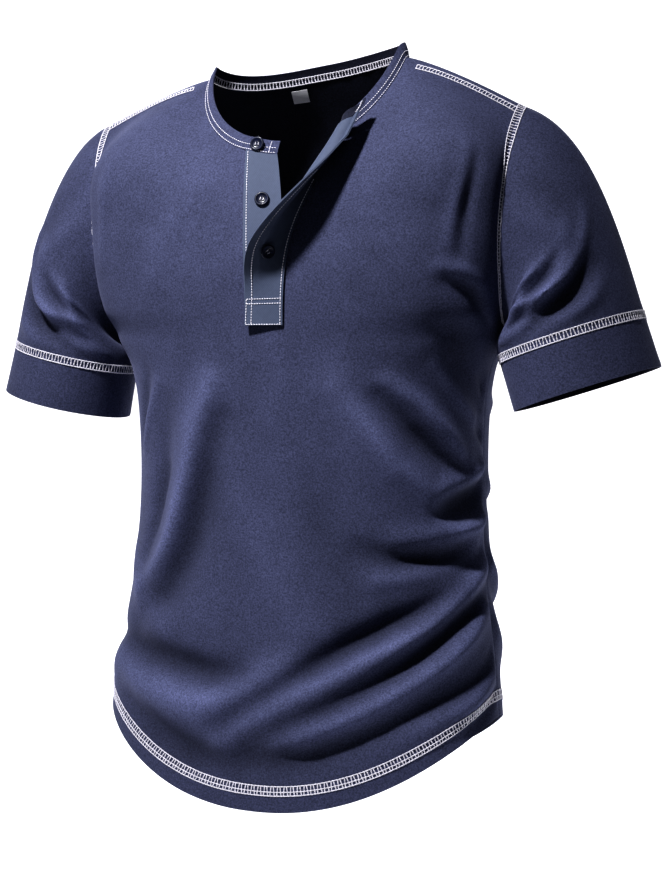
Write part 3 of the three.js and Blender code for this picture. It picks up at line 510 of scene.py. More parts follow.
def band(level, t, lifted=0.0):
    """The buttonhole band: t runs from its hinge on the wearer's left to its free edge."""
    level, t = np.broadcast_arrays(np.asarray(level, float), np.asarray(t, float))
    across = slot_edge(1, level) + SEAM_ALLOWANCE * across_per_mm(level)
    out, wide, _ = panel_out("front", across, level)
    hinge = panel("front", across, level) + out * (LAY_GAP + BAND_WALL)
    ups = [row.up for row in BAND_SWING]
    rows = [np.broadcast_to(np.array([row.swing, row.drop], float), level.shape + (2,)) for row in BAND_SWING]
    turned = through(ups, rows, np.clip(hinge[..., 2] - PLACKET_BOTTOM, 0, ups[-1]))
    swing = np.radians(turned[..., 0])
    bend = swing * np.minimum(1, t * BEND_SPEED)
    rise = PLACKET_WIDTH * t * np.sin(bend) + (BAND_WALL + LAY_GAP) * t * np.maximum(0, np.cos(swing))
    at = hinge - wide * (PLACKET_WIDTH * t * np.cos(bend))[..., None] + out * rise[..., None]
    at[..., 2] -= turned[..., 1] * t
    if not np.any(lifted):
        return at
    across_band = band(level, np.minimum(1, t + 0.02)) - band(level, np.maximum(0, t - 0.02))
    along_band = band(np.minimum(1, level + 0.003), t) - band(level - 0.003, t)
    return at - unit(np.cross(across_band, along_band)) * np.broadcast_to(lifted, level.shape)[..., None]


# Neckband. It runs over the stand, the right of the front, the back, the left of the front and
# the flap of the buttonhole band, and it rises up and inwards.
BAND_RISE = {"front": (0.86, 0.5), "back": (0.97, 0.25)}
STAND_STEPS = 10
RIGHT_STEPS = 34
BACK_STEPS = 66
LEFT_STEPS = 28
FLAP_STEPS = 16
STAND_START = 0.04
FLAP_START = 0.06
SLOT_GAP = 0.02


def band_rise(face, at):
    """The way the neckband rises from points of the neckline."""
    up, towards = BAND_RISE[face]
    return unit(np.array([0, 0, up]) - unit(at * [1, 1, 0]) * towards)


def neck_path():
    """Where the neckband starts, all the way round, and the way it rises from there."""
    right, left = float(slot_edge(-1, 1.0)) - SLOT_GAP, float(slot_edge(1, 1.0)) + SLOT_GAP
    places = [
        ("front", stand(1.0, np.linspace(1, STAND_START, STAND_STEPS))),
        ("front", panel("front", np.linspace(right, -NECK_ACROSS, RIGHT_STEPS), 1.0)),
        ("back", panel("back", np.linspace(-NECK_ACROSS, NECK_ACROSS, BACK_STEPS)[1:-1], 1.0)),
        ("front", panel("front", np.linspace(NECK_ACROSS, left, LEFT_STEPS), 1.0)),
    ]
    path, rises = [], []
    for face, at in places:
        path.append(at)
        rises.append(band_rise(face, at))
    t = np.linspace(FLAP_START, 1, FLAP_STEPS)
    flap = band(1.0, t)
    along = unit(flap - band(0.965, t))
    path.append(flap)
    rises.append(unit(mix(band_rise("front", flap), along, smooth(t + 0.45)[:, None])))
    path, rises = np.concatenate(path), np.concatenate(rises)
    for _ in range(4):
        rises[1:-1] = unit(rises[:-2] + rises[1:-1] * 2 + rises[2:])
    for _ in range(2):
        path[1:-1] = (path[:-2] + path[1:-1] * 2 + path[2:]) / 4
    return path, rises


NECK_PATH, NECK_RISE = neck_path()


def neckband(place, height):
    """A point of the neckband: place is its position along the path, from 0 to 1."""
    place, height = np.broadcast_arrays(np.asarray(place, float), np.asarray(height, float))
    index = place * (len(NECK_PATH) - 1)
    k = np.clip(index.astype(int), 0, len(NECK_PATH) - 2)
    t = (index - k)[..., None]
    at = mix(NECK_PATH[k], NECK_PATH[k + 1], t)
    rise = mix(NECK_RISE[k], NECK_RISE[k + 1], t)
    return at + rise * height[..., None]


# Meshes. SHELLS keeps each sheet of cloth by its node's name, with the faces on its outer side.
SHELLS = {}


def new_piece(name, verts, faces, uvs=None, smooth_faces=True):
    """A mesh object from points in millimetres. uvs has a point for each corner, in metres."""
    mesh = bpy.data.meshes.new(name)
    mesh.from_pydata((np.asarray(verts) * MM).tolist(), [], [list(map(int, face)) for face in faces])
    if uvs is not None:
        layer = mesh.uv_layers.new(name="UVMap")
        layer.data.foreach_set("uv", np.asarray(uvs, np.float32).ravel())
    mesh.polygons.foreach_set("use_smooth", [smooth_faces] * len(mesh.polygons))
    mesh.validate()
    mesh.update()
    piece = bpy.data.objects.new(name, mesh)
    bpy.context.scene.collection.objects.link(piece)
    return piece


def cloth_wall(name, outer, out, thickness, sign, wrap=False, present=None, crest=None):
    """A closed sheet of cloth from a grid of outer points, rows by columns, and the way out of it.

    Its texture coordinates are distances along the cloth in metres. present says which cells
    hold cloth, crest is how high each point stands on the folds, from -1 to 1, which the jersey
    turns into painted highlight on the crests and painted shade in the hollows, and sign is 1
    where columns x rows points out.
    """
    rows, across = outer.shape[0] - 1, outer.shape[1]
    columns = across if wrap else across - 1
    count = across * (rows + 1)
    verts = np.concatenate([outer.reshape(-1, 3), (outer - out * thickness).reshape(-1, 3)])
    closed = np.concatenate([outer, outer[:, :1]], 1) if wrap else outer
    around, up = lengths_along(closed, 1), lengths_along(closed, 0)
    around = around - around[:, columns // 2][:, None]
    flat = np.stack([around, up], -1)
    j, i = np.meshgrid(np.arange(rows), np.arange(columns), indexing="ij")
    held = np.ones((rows, columns), bool) if present is None else present
    ring = [(0, 0), (1, 0), (1, 1), (0, 1)]
    corners = np.stack([(j + dj) * across + (i + di) % across for di, dj in ring], -1)
    places = np.stack([flat[j + dj, i + di] for di, dj in ring], -2)
    turn = slice(None) if sign > 0 else slice(None, None, -1)
    quads, spots = corners[held][:, turn], places[held][:, turn]
    faces, uvs = [quads, quads[:, ::-1] + count], [spots, spots[:, ::-1]]
    wide = np.pad(held, 1)
    if wrap:
        wide[1:-1, 0], wide[1:-1, -1] = held[:, -1], held[:, 0]
    beside = [wide[:-2, 1:-1], wide[1:-1, 2:], wide[2:, 1:-1], wide[1:-1, :-2]]
    for edge, neighbour in enumerate(beside):
        rim = held & ~neighbour
        ends = [edge, (edge + 1) % 4][turn]
        a, b = corners[rim][:, ends[0]], corners[rim][:, ends[1]]
        spot_a, spot_b = places[rim][:, ends[0]], places[rim][:, ends[1]]
        faces.append(np.stack([b, a, a + count, b + count], -1))
        uvs.append(np.stack([spot_b, spot_a, spot_a, spot_b], -2))
    faces, uvs = np.concatenate(faces), np.concatenate(uvs)
    used = np.unique(faces)
    number = np.full(len(verts), -1)
    number[used] = np.arange(len(used))
    piece = new_piece(f"{name}_cloth", verts[used], number[faces], uvs.reshape(-1, 2) * MM)
    place = np.arange(len(piece.data.polygons))
    # Marks the inner faces, which the jersey darkens with painted shade.
    inner = piece.data.attributes.new("inner", "FLOAT", "FACE")
    inner.data.foreach_set("value", ((place >= len(quads)) & (place < 2 * len(quads))).astype(np.float32))
    heights = np.zeros(count) if crest is None else np.ravel(crest)
    # Fold heights, which the jersey turns into painted highlight on the crests and painted shade in the
    # hollows.
    nap = piece.data.attributes.new("crest", "FLOAT", "POINT")
    nap.data.foreach_set("value", np.concatenate([heights, heights])[used].astype(np.float32))
    SHELLS[name] = (piece, len(quads))
    piece.data.set_sharp_from_angle(angle=radians(55))
    return piece


def grid_out(at, sign, wrap=False):
    """The way out of a grid of points."""
    if wrap:
        wide = np.roll(at, -1, 1) - np.roll(at, 1, 1)
    else:
        wide = np.gradient(at, axis=1)
    high = np.gradient(at, axis=0)
    return unit(np.cross(wide, high)) * sign


def lengths_along(at, axis):
    """Distance along a grid of points in one of its directions."""
    steps = np.linalg.norm(np.diff(at, axis=axis), axis=-1)
    start = np.zeros_like(np.take(steps, [0], axis=axis))
    return np.concatenate([start, np.cumsum(steps, axis=axis)], axis=axis)


def resample(at, spacing):
    """Points at one spacing along a path, with their places on it from 0 to 1."""
    total = lengths_along(at, 0)
    count = max(2, int(round(total[-1] / spacing)) + 1)
    place = np.linspace(0, total[-1], count)
    return np.stack([np.interp(place, total, at[:, k]) for k in range(3)], -1), place / total[-1]


# Stitches. A rung slants by a share of the seam's width, and a thread loop overlaps the next one.
OUTSIDE, INSIDE = 0, 1
RUNG_SLANT = 0.12
LOOP_OVERLAP = 1.3


class Cloth:
    """One side of the finished cloth, which stitches are laid on."""

    def __init__(self, names, layer=OUTSIDE):
        verts, faces = [], []
        for name in names:
            shell, count = SHELLS[name]
            mesh, start = shell.data, len(verts)
            verts += [vert.co / MM for vert in mesh.vertices]
            faces += [[start + k for k in face.vertices]
                      for face in mesh.polygons[layer * count:(layer + 1) * count]]
        self.tree = BVHTree.FromPolygons(verts, faces)

    def land(self, points, out, lift):
        landed = []
        for point, way in zip(points, out):
            spot, normal, _, _ = self.tree.find_nearest(Vector(point))
            normal = np.array(normal)
            if normal @ way > 0:
                normal = unit(normal + way)
            landed.append(np.array(spot) + normal * lift)
        return np.array(landed)


class Stitches:
    """A run of stitches: their middles, the way each lies, the way out of the cloth, and lengths."""

    def __init__(self, cloth):
        self.cloth = cloth
        self.points, self.along, self.out, self.reach = [], [], [], []

    def add(self, points, along, out, reach):
        self.points.append(points)
        self.along.append(unit(along))
        self.out.append(unit(out))
        self.reach.append(np.broadcast_to(np.asarray(reach, float), len(points)))

    def between(self, starts, ends, out, share):
        """A stitch from each start to its end."""
        self.add((starts + ends) / 2, ends - starts, out, np.linalg.norm(ends - starts, axis=-1) * share)

    def dashes(self, at, out, pitch, share, lift):
        """Straight lockstitching along a path."""
        points, place = resample(at, pitch)
        normal = unit(spread(out, at, place))
        points = self.cloth.land(points, normal, lift)
        self.between(points[:-1], points[1:], normal[:-1], share)

    def ladder(self, at, out, pitch, width, lift, rails=(-0.5, 0.5)):
        """Flatlock: rungs across a seam between rows of stitches along it."""
        points, place = resample(at, pitch)
        line = unit(np.gradient(points, axis=0))
        normal = unit(spread(out, at, place))
        side = unit(np.cross(normal, line))
        slant = np.where(np.arange(len(points)) % 2, RUNG_SLANT, -RUNG_SLANT)[:, None] * line * width
        offs = [-0.5, 0.0, 0.5]
        edges = [self.cloth.land(points + (side * width + slant) * off, normal, lift) for off in offs]
        for near, far in zip(edges[:-1], edges[1:]):
            self.between(near, far, normal, LOOP_OVERLAP)
        for off in rails:
            self.dashes(points + side * (off * width), normal, pitch, LOOP_OVERLAP, lift * 1.3)


def spread(values, at, place):
    """Values given at a path's points, at other places on it."""
    total = lengths_along(at, 0)
    return np.stack([np.interp(place * total[-1], total, values[:, k]) for k in range(3)], -1)


# Fine form of the cloth beside its seams
RIPPLES = [(11, 0), (17, 1.7), (7.3, 4.1)]


def ripple(along):
    """Uneven small waves along a seam, from -1 to 1."""
    return sum(np.sin(along * tau / length + start) for length, start in RIPPLES) / len(RIPPLES)


# Fold height at which the jersey's painted highlight and painted shade are full.
CREST_HEIGHT = 9
PUCKER_RISE = 0.45
PUCKER_REACH = 8
PUCKER_START = 3
SEAM_DIP = 0.5
SEAM_DIP_REACH = 2
HEM_LINE = 20
HEM_RISE = 0.6
HEM_STEP = 3
CELLS_TO_NECK = 36
CELLS_TO_SLOT = 30
SLOT_CELLS = 4
ROWS_TO_ARMPIT = 106
ROWS_TO_SLOT = 8
ROWS_TO_TOP = 58


def pucker(along, away):
    """How cloth puckers beside a seam, at a distance along it and away from it."""
    return PUCKER_RISE * ripple(along) * np.exp(-((away / PUCKER_REACH) ** 2)) * smooth(away / PUCKER_START)


def panel_grid(face):
    """The outer points of a panel, the way out of them, the cells that hold cloth and its crests, which set
    painted light and shade.
    """
    levels = np.concatenate([
        np.linspace(0, ARMPIT_LEVEL, ROWS_TO_ARMPIT, endpoint=False),
        np.linspace(ARMPIT_LEVEL, SLOT_LEVEL, ROWS_TO_SLOT, endpoint=False),
        np.linspace(SLOT_LEVEL, 1, ROWS_TO_TOP + 1),
    ])
    left, right = slot_edge(1, levels), slot_edge(-1, levels)
    if face == "back":
        left, right = np.full(len(levels), left[-1]), np.full(len(levels), right[-1])
    ones = np.ones(len(levels))
    parts = [
        np.linspace(-ones, -ones * NECK_ACROSS, CELLS_TO_NECK, endpoint=False),
        np.linspace(-ones * NECK_ACROSS, right, CELLS_TO_SLOT, endpoint=False),
        np.linspace(right, left, SLOT_CELLS, endpoint=False),
        np.linspace(left, ones * NECK_ACROSS, CELLS_TO_SLOT, endpoint=False),
        np.linspace(ones * NECK_ACROSS, ones, CELLS_TO_NECK + 1),
    ]
    across = np.concatenate(parts).T
    level = np.broadcast_to(levels[:, None], across.shape)
    at = panel(face, across, level)
    out = panel_out(face, across, level)[0]
    other = panel_out("back" if face == "front" else "front", across[-1:], level[-1:])[0]
    seam = (np.abs(across[-1]) >= NECK_ACROSS - 1e-6)[:, None]
    out[-1] = np.where(seam, unit(out[-1] + other[0]), out[-1])
    up = lengths_along(at, 0)
    around = across * GIRTH_QUARTER
    side = (1 - np.abs(across)) * GIRTH_QUARTER
    rise = HEM_RISE * (1 - smooth((up - HEM_LINE + HEM_STEP / 2) / HEM_STEP))
    rise = rise + PUCKER_RISE * ripple(around) * np.exp(-(((up - HEM_LINE) / PUCKER_REACH) ** 2))
    rise = rise + pucker(up, side)
    rise = rise - SEAM_DIP * np.exp(-((side / SEAM_DIP_REACH) ** 2)) * (level < ARMPIT_LEVEL)
    held = np.ones((len(levels) - 1, across.shape[1] - 1), bool)
    if face == "front":
        first = CELLS_TO_NECK + CELLS_TO_SLOT
        held[ROWS_TO_ARMPIT + ROWS_TO_SLOT:, first:first + SLOT_CELLS] = False
    coarse, fine = (FRONT_FOLDS, FRONT_CREASES) if face == "front" else (BACK_FOLDS, BACK_CREASES)
    height = plain_panel(face, across, level)[..., 2]
    crest = panel_rise(fine, across, level, height) + panel_rise(coarse, across, level, height) / 2
    return at + out * rise[..., None], out, held, np.clip(crest / CREST_HEIGHT, -1, 1)


ROUND_CELLS = 150
SLEEVE_PARTS = [("sleeve", sleeve_points, 50), ("cuff", cuff_points, 14)]


def tube_grid(sleeve, point_at, rows):
    turn = np.arange(ROUND_CELLS) / ROUND_CELLS
    t = np.linspace(0, 1, rows + 1)
    t, turn = np.meshgrid(t, turn, indexing="ij")
    at = point_at(sleeve, turn, t)
    out = tube_out(lambda a, b: point_at(sleeve, a, b), turn, t, -sleeve.side, 1 / ROUND_CELLS)
    down = lengths_along(at, 0)
    around = turn * SLEEVE_GIRTH
    rise = pucker(around, down) + pucker(around + 60, down[-1:] - down)
    # Fold heights for the painted highlight and shade, on the sleeves but not the cuffs.
    crest = sleeve_rise(turn, t) * (point_at is sleeve_points)
    return at + out * rise[..., None], out, np.clip(crest / CREST_HEIGHT, -1, 1)


# Materials
def add_node(tree, kind, inputs=None, **settings):
    """A node of a tree with its settings, its inputs set to values or linked to sockets."""
    node = tree.nodes.new(kind)
    for key, value in settings.items():
        setattr(node, key, value)
    for key, value in (inputs or {}).items():
        if isinstance(value, bpy.types.NodeSocket):
            tree.links.new(value, node.inputs[key])
        else:
            node.inputs[key].default_value = value
    return node


def new_material(name, finish):
    """A material with its tree and its principled shader, whose sockets hold the finish."""
    material = bpy.data.materials.new(name)
    material.use_nodes = True
    tree = material.node_tree
    tree.nodes.clear()
    shader = add_node(tree, "ShaderNodeBsdfPrincipled", finish)
    add_node(tree, "ShaderNodeOutputMaterial", {"Surface": shader.outputs["BSDF"]})
    return material, tree, shader


def set_tones(ramp, colour, *tones):
    """Sets a ramp's stops: each tone is its place and how bright the colour is there."""
    for stop, (place, bright) in zip(ramp.color_ramp.elements, tones):
        stop.position = place
        stop.color = tuple(c * bright for c in colour[:3]) + (1.0,)


# Scales of the patterns in repeats per metre. A noise cell is 1 / scale long, and the bands of a
# wave are 0.314 / scale apart. The nap and the weaves are drawn coarser than real, so they show.
NAP_SCALE = 620.0  # tufts of 1.6 mm
DYE_SCALE = 42.0  # clouds of 24 mm
PATCH_SCALE = 11.0  # patches of 90 mm
TWILL_SCALE = 260.0  # lines 1.2 mm apart
SLUB_SCALE = 300.0  # slubs of 3.3 mm
PLY_SCALE = 900.0  # twist of 1.1 mm
CLOUD_SCALE = 180.0  # clouds of 5.6 mm
RIB_SCALE = 420.0  # ribs 0.75 mm apart
GRAIN_SCALE = 60.0  # fibres of 17 mm
# Painted light: the crests of the folds are made up to this many times paler and the hollows as much darker.
CREST_PAINTED_LIGHT = 2.1
# Painted shade: the inner faces lose this share of their colour.
INNER_PAINTED_SHADE = 0.72


def brushed_jersey(colour):
    """Brushed cotton jersey, which gives the eye a fine peppery nap over soft uneven dye.

    Painted light and shade: the colour is made paler along the crests of the folds as a painted
    highlight, and darker in the hollows as painted shade. The inner side is darkened as painted
    shade, for the dark inside of the hollow shirt.
    """
    material, tree, shader = new_material("Brushed cotton jersey", {
        "Roughness": 0.86, "Specular IOR Level": 0.22, "Sheen Weight": 0.16, "Sheen Roughness": 0.45,
        "Sheen Tint": hex_colour("#b4b8e0")})
    place = add_node(tree, "ShaderNodeTexCoord").outputs["Object"]
    nap = add_node(tree, "ShaderNodeTexNoise",
                   {"Vector": place, "Scale": NAP_SCALE, "Detail": 3.0, "Roughness": 0.7})
    dye = add_node(tree, "ShaderNodeTexNoise", {"Vector": place, "Scale": DYE_SCALE, "Detail": 4.0})
    patch = add_node(tree, "ShaderNodeTexNoise",
                     {"Vector": place, "Scale": PATCH_SCALE, "Detail": 2.0})
    pepper = add_node(tree, "ShaderNodeValToRGB", {"Fac": nap.outputs["Fac"]})
    set_tones(pepper, colour, (0.34, 0.62), (0.68, 1.42))
    uneven = add_node(tree, "ShaderNodeMix", {0: 0.5, 2: dye.outputs["Fac"], 3: patch.outputs["Fac"]},
                      data_type="FLOAT")
    depth = add_node(tree, "ShaderNodeMapRange",
                     {"Value": uneven.outputs[0], "From Min": 0.32, "From Max": 0.68,
                      "To Min": 0.88, "To Max": 1.12})
    # Painted shade: the inner faces are darker, for the dark inside of the hollow shirt.
    inner = add_node(tree, "ShaderNodeAttribute", attribute_name="inner").outputs["Fac"]
    side = add_node(tree, "ShaderNodeMath", {0: inner, 1: -INNER_PAINTED_SHADE, 2: 1.0}, operation="MULTIPLY_ADD")
    # Painted highlight on the crests of the folds and painted shade in their hollows.
    crest = add_node(tree, "ShaderNodeAttribute", attribute_name="crest").outputs["Fac"]
    raised = add_node(tree, "ShaderNodeMath", {0: CREST_PAINTED_LIGHT, 1: crest}, operation="POWER")
    painted_light_and_shade = add_node(tree, "ShaderNodeMath", {0: raised.outputs["Value"], 1: side.outputs["Value"]},
                       operation="MULTIPLY")
    whole = add_node(tree, "ShaderNodeMath", {0: depth.outputs["Result"], 1: painted_light_and_shade.outputs["Value"]},
                     operation="MULTIPLY")
    # The dye's colour times the painted light and shade.
    dye_and_painted_light = add_node(tree, "ShaderNodeVectorMath", {0: pepper.outputs["Color"]}, operation="SCALE")
    tree.links.new(whole.outputs["Value"], dye_and_painted_light.inputs["Scale"])
    tree.links.new(dye_and_painted_light.outputs["Vector"], shader.inputs["Base Color"])
    bump = add_node(tree, "ShaderNodeBump",
                    {"Height": nap.outputs["Fac"], "Strength": 0.55, "Distance": 0.0005})
    tree.links.new(bump.outputs["Normal"], shader.inputs["Normal"])
    return material


def cotton_twill(colour):
    """Cotton twill, which gives the eye fine slanting lines, smoother and paler than the jersey."""
    material, tree, shader = new_material("Cotton twill", {
        "Roughness": 0.72, "Specular IOR Level": 0.3, "Sheen Weight": 0.1,
        "Sheen Tint": hex_colour("#c8cce4")})
    flat = add_node(tree, "ShaderNodeTexCoord").outputs["UV"]
    turned = add_node(tree, "ShaderNodeMapping", {"Vector": flat, "Rotation": (0.0, 0.0, radians(52))})
    lines = add_node(tree, "ShaderNodeTexWave",
                     {"Vector": turned.outputs["Vector"], "Scale": TWILL_SCALE, "Distortion": 0.6,
                      "Detail": 1.0, "Detail Scale": 2.0})
    place = add_node(tree, "ShaderNodeTexCoord").outputs["Object"]
    slub = add_node(tree, "ShaderNodeTexNoise", {"Vector": place, "Scale": SLUB_SCALE, "Detail": 3.0})
    mixed = add_node(tree, "ShaderNodeMix", {0: 0.45, 2: lines.outputs["Fac"], 3: slub.outputs["Fac"]},
                     data_type="FLOAT")
    ramp = add_node(tree, "ShaderNodeValToRGB", {"Fac": mixed.outputs[0]})
    set_tones(ramp, colour, (0.25, 0.82), (0.75, 1.16))
    tree.links.new(ramp.outputs["Color"], shader.inputs["Base Color"])
    bump = add_node(tree, "ShaderNodeBump",
                    {"Height": mixed.outputs[0], "Strength": 0.3, "Distance": 0.0002})
    tree.links.new(bump.outputs["Normal"], shader.inputs["Normal"])
    return material


def polyester_thread(colour):
    """Polyester sewing thread, which gives the eye a smooth faint shine."""
    material, tree, shader = new_material("Polyester thread", {"Roughness": 0.48, "Sheen Weight": 0.1})
    place = add_node(tree, "ShaderNodeTexCoord").outputs["Object"]
    ply = add_node(tree, "ShaderNodeTexNoise", {"Vector": place, "Scale": PLY_SCALE, "Detail": 1.0})
    ramp = add_node(tree, "ShaderNodeValToRGB", {"Fac": ply.outputs["Fac"]})
    set_tones(ramp, colour, (0.3, 0.8), (0.7, 1.08))
    tree.links.new(ramp.outputs["Color"], shader.inputs["Base Color"])
    return material


def polished_resin(colour):
    """Polished polyester resin, which gives the eye a deep gloss with sharp highlights."""
    material, tree, shader = new_material("Polished polyester resin", {
        "Roughness": 0.42, "Specular IOR Level": 0.32, "Coat Weight": 0.16, "Coat Roughness": 0.12})
    place = add_node(tree, "ShaderNodeTexCoord").outputs["Object"]
    cloud = add_node(tree, "ShaderNodeTexNoise", {"Vector": place, "Scale": CLOUD_SCALE, "Detail": 3.0})
    ramp = add_node(tree, "ShaderNodeValToRGB", {"Fac": cloud.outputs["Fac"]})
    set_tones(ramp, colour, (0.35, 0.7), (0.7, 1.5))
    tree.links.new(ramp.outputs["Color"], shader.inputs["Base Color"])
    return material


def woven_tape(colour):
    """Woven label tape, which gives the eye a pale, close ribbed weave."""
    material, tree, shader = new_material("Woven label tape", {"Roughness": 0.7})
    flat = add_node(tree, "ShaderNodeTexCoord").outputs["UV"]
    ribs = add_node(tree, "ShaderNodeTexWave", {"Vector": flat, "Scale": RIB_SCALE, "Distortion": 0.4},
                    bands_direction="Y")
    ramp = add_node(tree, "ShaderNodeValToRGB", {"Fac": ribs.outputs["Fac"]})
    set_tones(ramp, colour, (0, 0.86), (1, 1.04))
    tree.links.new(ramp.outputs["Color"], shader.inputs["Base Color"])
    return material


def studio_paper(colour, glow):
    """Seamless studio paper, which gives the eye an even pale ground. A lit backdrop glows."""
    material, tree, shader = new_material("Seamless paper", {
        "Roughness": 0.9, "Emission Color": colour, "Emission Strength": glow})
    place = add_node(tree, "ShaderNodeTexCoord").outputs["Object"]
    grain = add_node(tree, "ShaderNodeTexNoise", {"Vector": place, "Scale": GRAIN_SCALE, "Detail": 4.0})
    ramp = add_node(tree, "ShaderNodeValToRGB", {"Fac": grain.outputs["Fac"]})
    set_tones(ramp, colour, (0, 0.99), (1, 1))
    tree.links.new(ramp.outputs["Color"], shader.inputs["Base Color"])
    return material


THREAD_FLATNESS = 0.7
THREAD_UNEVENNESS = 0.16
STITCH_SEED = 7


def stitch_tree():
    """Lays one thread loop on each point, turned by the point's own directions."""
    tree = bpy.data.node_groups.new("Laid stitches", "GeometryNodeTree")
    face = tree.interface
    face.new_socket("Geometry", in_out="INPUT", socket_type="NodeSocketGeometry")
    thick = face.new_socket("Thread thickness", in_out="INPUT", socket_type="NodeSocketFloat")
    uneven = face.new_socket("Unevenness", in_out="INPUT", socket_type="NodeSocketFloat")
    thread = face.new_socket("Thread", in_out="INPUT", socket_type="NodeSocketMaterial")
    face.new_socket("Geometry", in_out="OUTPUT", socket_type="NodeSocketGeometry")
    given = add_node(tree, "NodeGroupInput")

    def named(name, kind):
        node = add_node(tree, "GeometryNodeInputNamedAttribute", {"Name": name}, data_type=kind)
        return node.outputs["Attribute"]

    points = add_node(tree, "GeometryNodeMeshToPoints", {"Mesh": given.outputs["Geometry"]})
    loop = add_node(tree, "GeometryNodeMeshUVSphere", {"Segments": 6, "Rings": 4, "Radius": 0.5})
    turn = add_node(tree, "FunctionNodeAxesToRotation",
                    {"Primary Axis": named("along", "FLOAT_VECTOR"),
                     "Secondary Axis": named("out", "FLOAT_VECTOR")},
                    primary_axis="Z", secondary_axis="Y")
    chance = add_node(tree, "FunctionNodeRandomValue", {"Seed": STITCH_SEED}, data_type="FLOAT")
    centred = add_node(tree, "ShaderNodeMath", {0: chance.outputs["Value"], 1: 0.5}, operation="SUBTRACT")
    change = add_node(tree, "ShaderNodeMath",
                      {0: centred.outputs["Value"], 1: given.outputs["Unevenness"], 2: 1.0},
                      operation="MULTIPLY_ADD")
    reach = add_node(tree, "ShaderNodeMath",
                     {0: named("reach", "FLOAT"), 1: change.outputs["Value"]}, operation="MULTIPLY")
    flattened = add_node(tree, "ShaderNodeMath",
                         {0: given.outputs["Thread thickness"], 1: THREAD_FLATNESS}, operation="MULTIPLY")
    size = add_node(tree, "ShaderNodeCombineXYZ", {"X": given.outputs["Thread thickness"],
                                                   "Y": flattened.outputs["Value"],
                                                   "Z": reach.outputs["Value"]})
    laid = add_node(tree, "GeometryNodeInstanceOnPoints",
                    {"Points": points.outputs["Points"], "Instance": loop.outputs["Mesh"],
                     "Rotation": turn.outputs["Rotation"], "Scale": size.outputs["Vector"]})
    real = add_node(tree, "GeometryNodeRealizeInstances", {"Geometry": laid.outputs["Instances"]})
    coloured = add_node(tree, "GeometryNodeSetMaterial",
                        {"Geometry": real.outputs["Geometry"], "Material": given.outputs["Thread"]})
    add_node(tree, "NodeGroupOutput", {"Geometry": coloured.outputs["Geometry"]})
    return tree, {"thickness": thick.identifier, "uneven": uneven.identifier, "thread": thread.identifier}


def lay_stitches(name, stitches, tree, sockets, thickness, material):
    """One plain mesh of all the stitches of a seam."""
    points = np.concatenate(stitches.points)
    mesh = bpy.data.meshes.new(name)
    mesh.from_pydata((points * MM).tolist(), [], [])
    for key, values in (("along", stitches.along), ("out", stitches.out)):
        layer = mesh.attributes.new(key, "FLOAT_VECTOR", "POINT")
        layer.data.foreach_set("vector", np.concatenate(values).astype(np.float32).ravel())
    layer = mesh.attributes.new("reach", "FLOAT", "POINT")
    layer.data.foreach_set("value", (np.concatenate(stitches.reach) * MM).astype(np.float32))
    piece = bpy.data.objects.new(name, mesh)
    bpy.context.scene.collection.objects.link(piece)
    modifier = piece.modifiers.new("Laid stitches", "NODES")
    modifier.node_group = tree
    modifier[sockets["thickness"]] = thickness * MM
    modifier[sockets["uneven"]] = THREAD_UNEVENNESS
    modifier[sockets["thread"]] = material
    evaluated = piece.evaluated_get(bpy.context.evaluated_depsgraph_get())
    plain = bpy.data.meshes.new_from_object(evaluated)
    piece.modifiers.remove(modifier)
    piece.data = plain
    plain.name = name
    if not len(plain.polygons):
        raise RuntimeError(f"{name} has no stitches")
    plain.polygons.foreach_set("use_smooth", [True] * len(plain.polygons))
    return piece


# Lines of the seams. The armholes' and shoulders' stitches lie just inside the panels' edges.
SEAM_INSET = 0.985
SHOULDER_LINE = 0.989
ARMHOLE_STEPS = 240
CUFF_STEPS = 200


def armhole_seam(sleeve):
    turn = np.linspace(0, 1, ARMHOLE_STEPS + 1)
    body = round_armhole(lambda *place: panel_out(*place)[0], sleeve.side * SEAM_INSET, turn, SEAM_INSET)
    arm = tube_out(lambda a, b: plain_sleeve(sleeve, a, b), turn, np.full(turn.shape, 0.02), -sleeve.side)
    return armhole(sleeve.side, turn), unit(body + arm)


def shoulder_seam(sleeve):
    across = sleeve.side * np.linspace(NECK_ACROSS + 0.03, SEAM_INSET, 60)
    level = np.full(across.shape, SHOULDER_LINE)
    return panel("front", across, level), panel_out("front", across, level)[0]


def cuff_seam(sleeve):
    turn = np.linspace(0, 1, CUFF_STEPS + 1)
    ones = np.ones(len(turn))
    at = sleeve_points(sleeve, turn, ones)
    return at, tube_out(lambda a, b: plain_sleeve(sleeve, a, b), turn, ones * 0.97, -sleeve.side)


def hem_seam(face):
    at, out = panel_grid(face)[:2]
    up = lengths_along(at, 0)
    lines = []
    for column in range(at.shape[1]):
        lines.append([np.interp(HEM_LINE, up[:, column], at[:, column, k]) for k in range(3)]
                     + [np.interp(HEM_LINE, up[:, column], out[:, column, k]) for k in range(3)])
    lines = np.array(lines)
    return lines[:, :3], unit(lines[:, 3:])


def neckband_out(place, height):
    step = 1.5 / len(NECK_PATH)
    wide = neckband(np.minimum(place + step, 1), height) - neckband(np.maximum(place - step, 0), height)
    high = neckband(place, height + 2) - neckband(place, height - 2)
    return -unit(np.cross(wide, high))


def strip_line(point_at, level, t, lifted):
    """A line along a strip of the placket and the way out of the cloth there."""
    level, t = np.broadcast_arrays(np.asarray(level, float), np.asarray(t, float))
    at = point_at(level, t, np.full(level.shape, 1e-6))
    out = unit(point_at(level, t, np.ones(level.shape)) - at)
    return at + out * lifted, out * (1 if lifted >= 0 else -1)


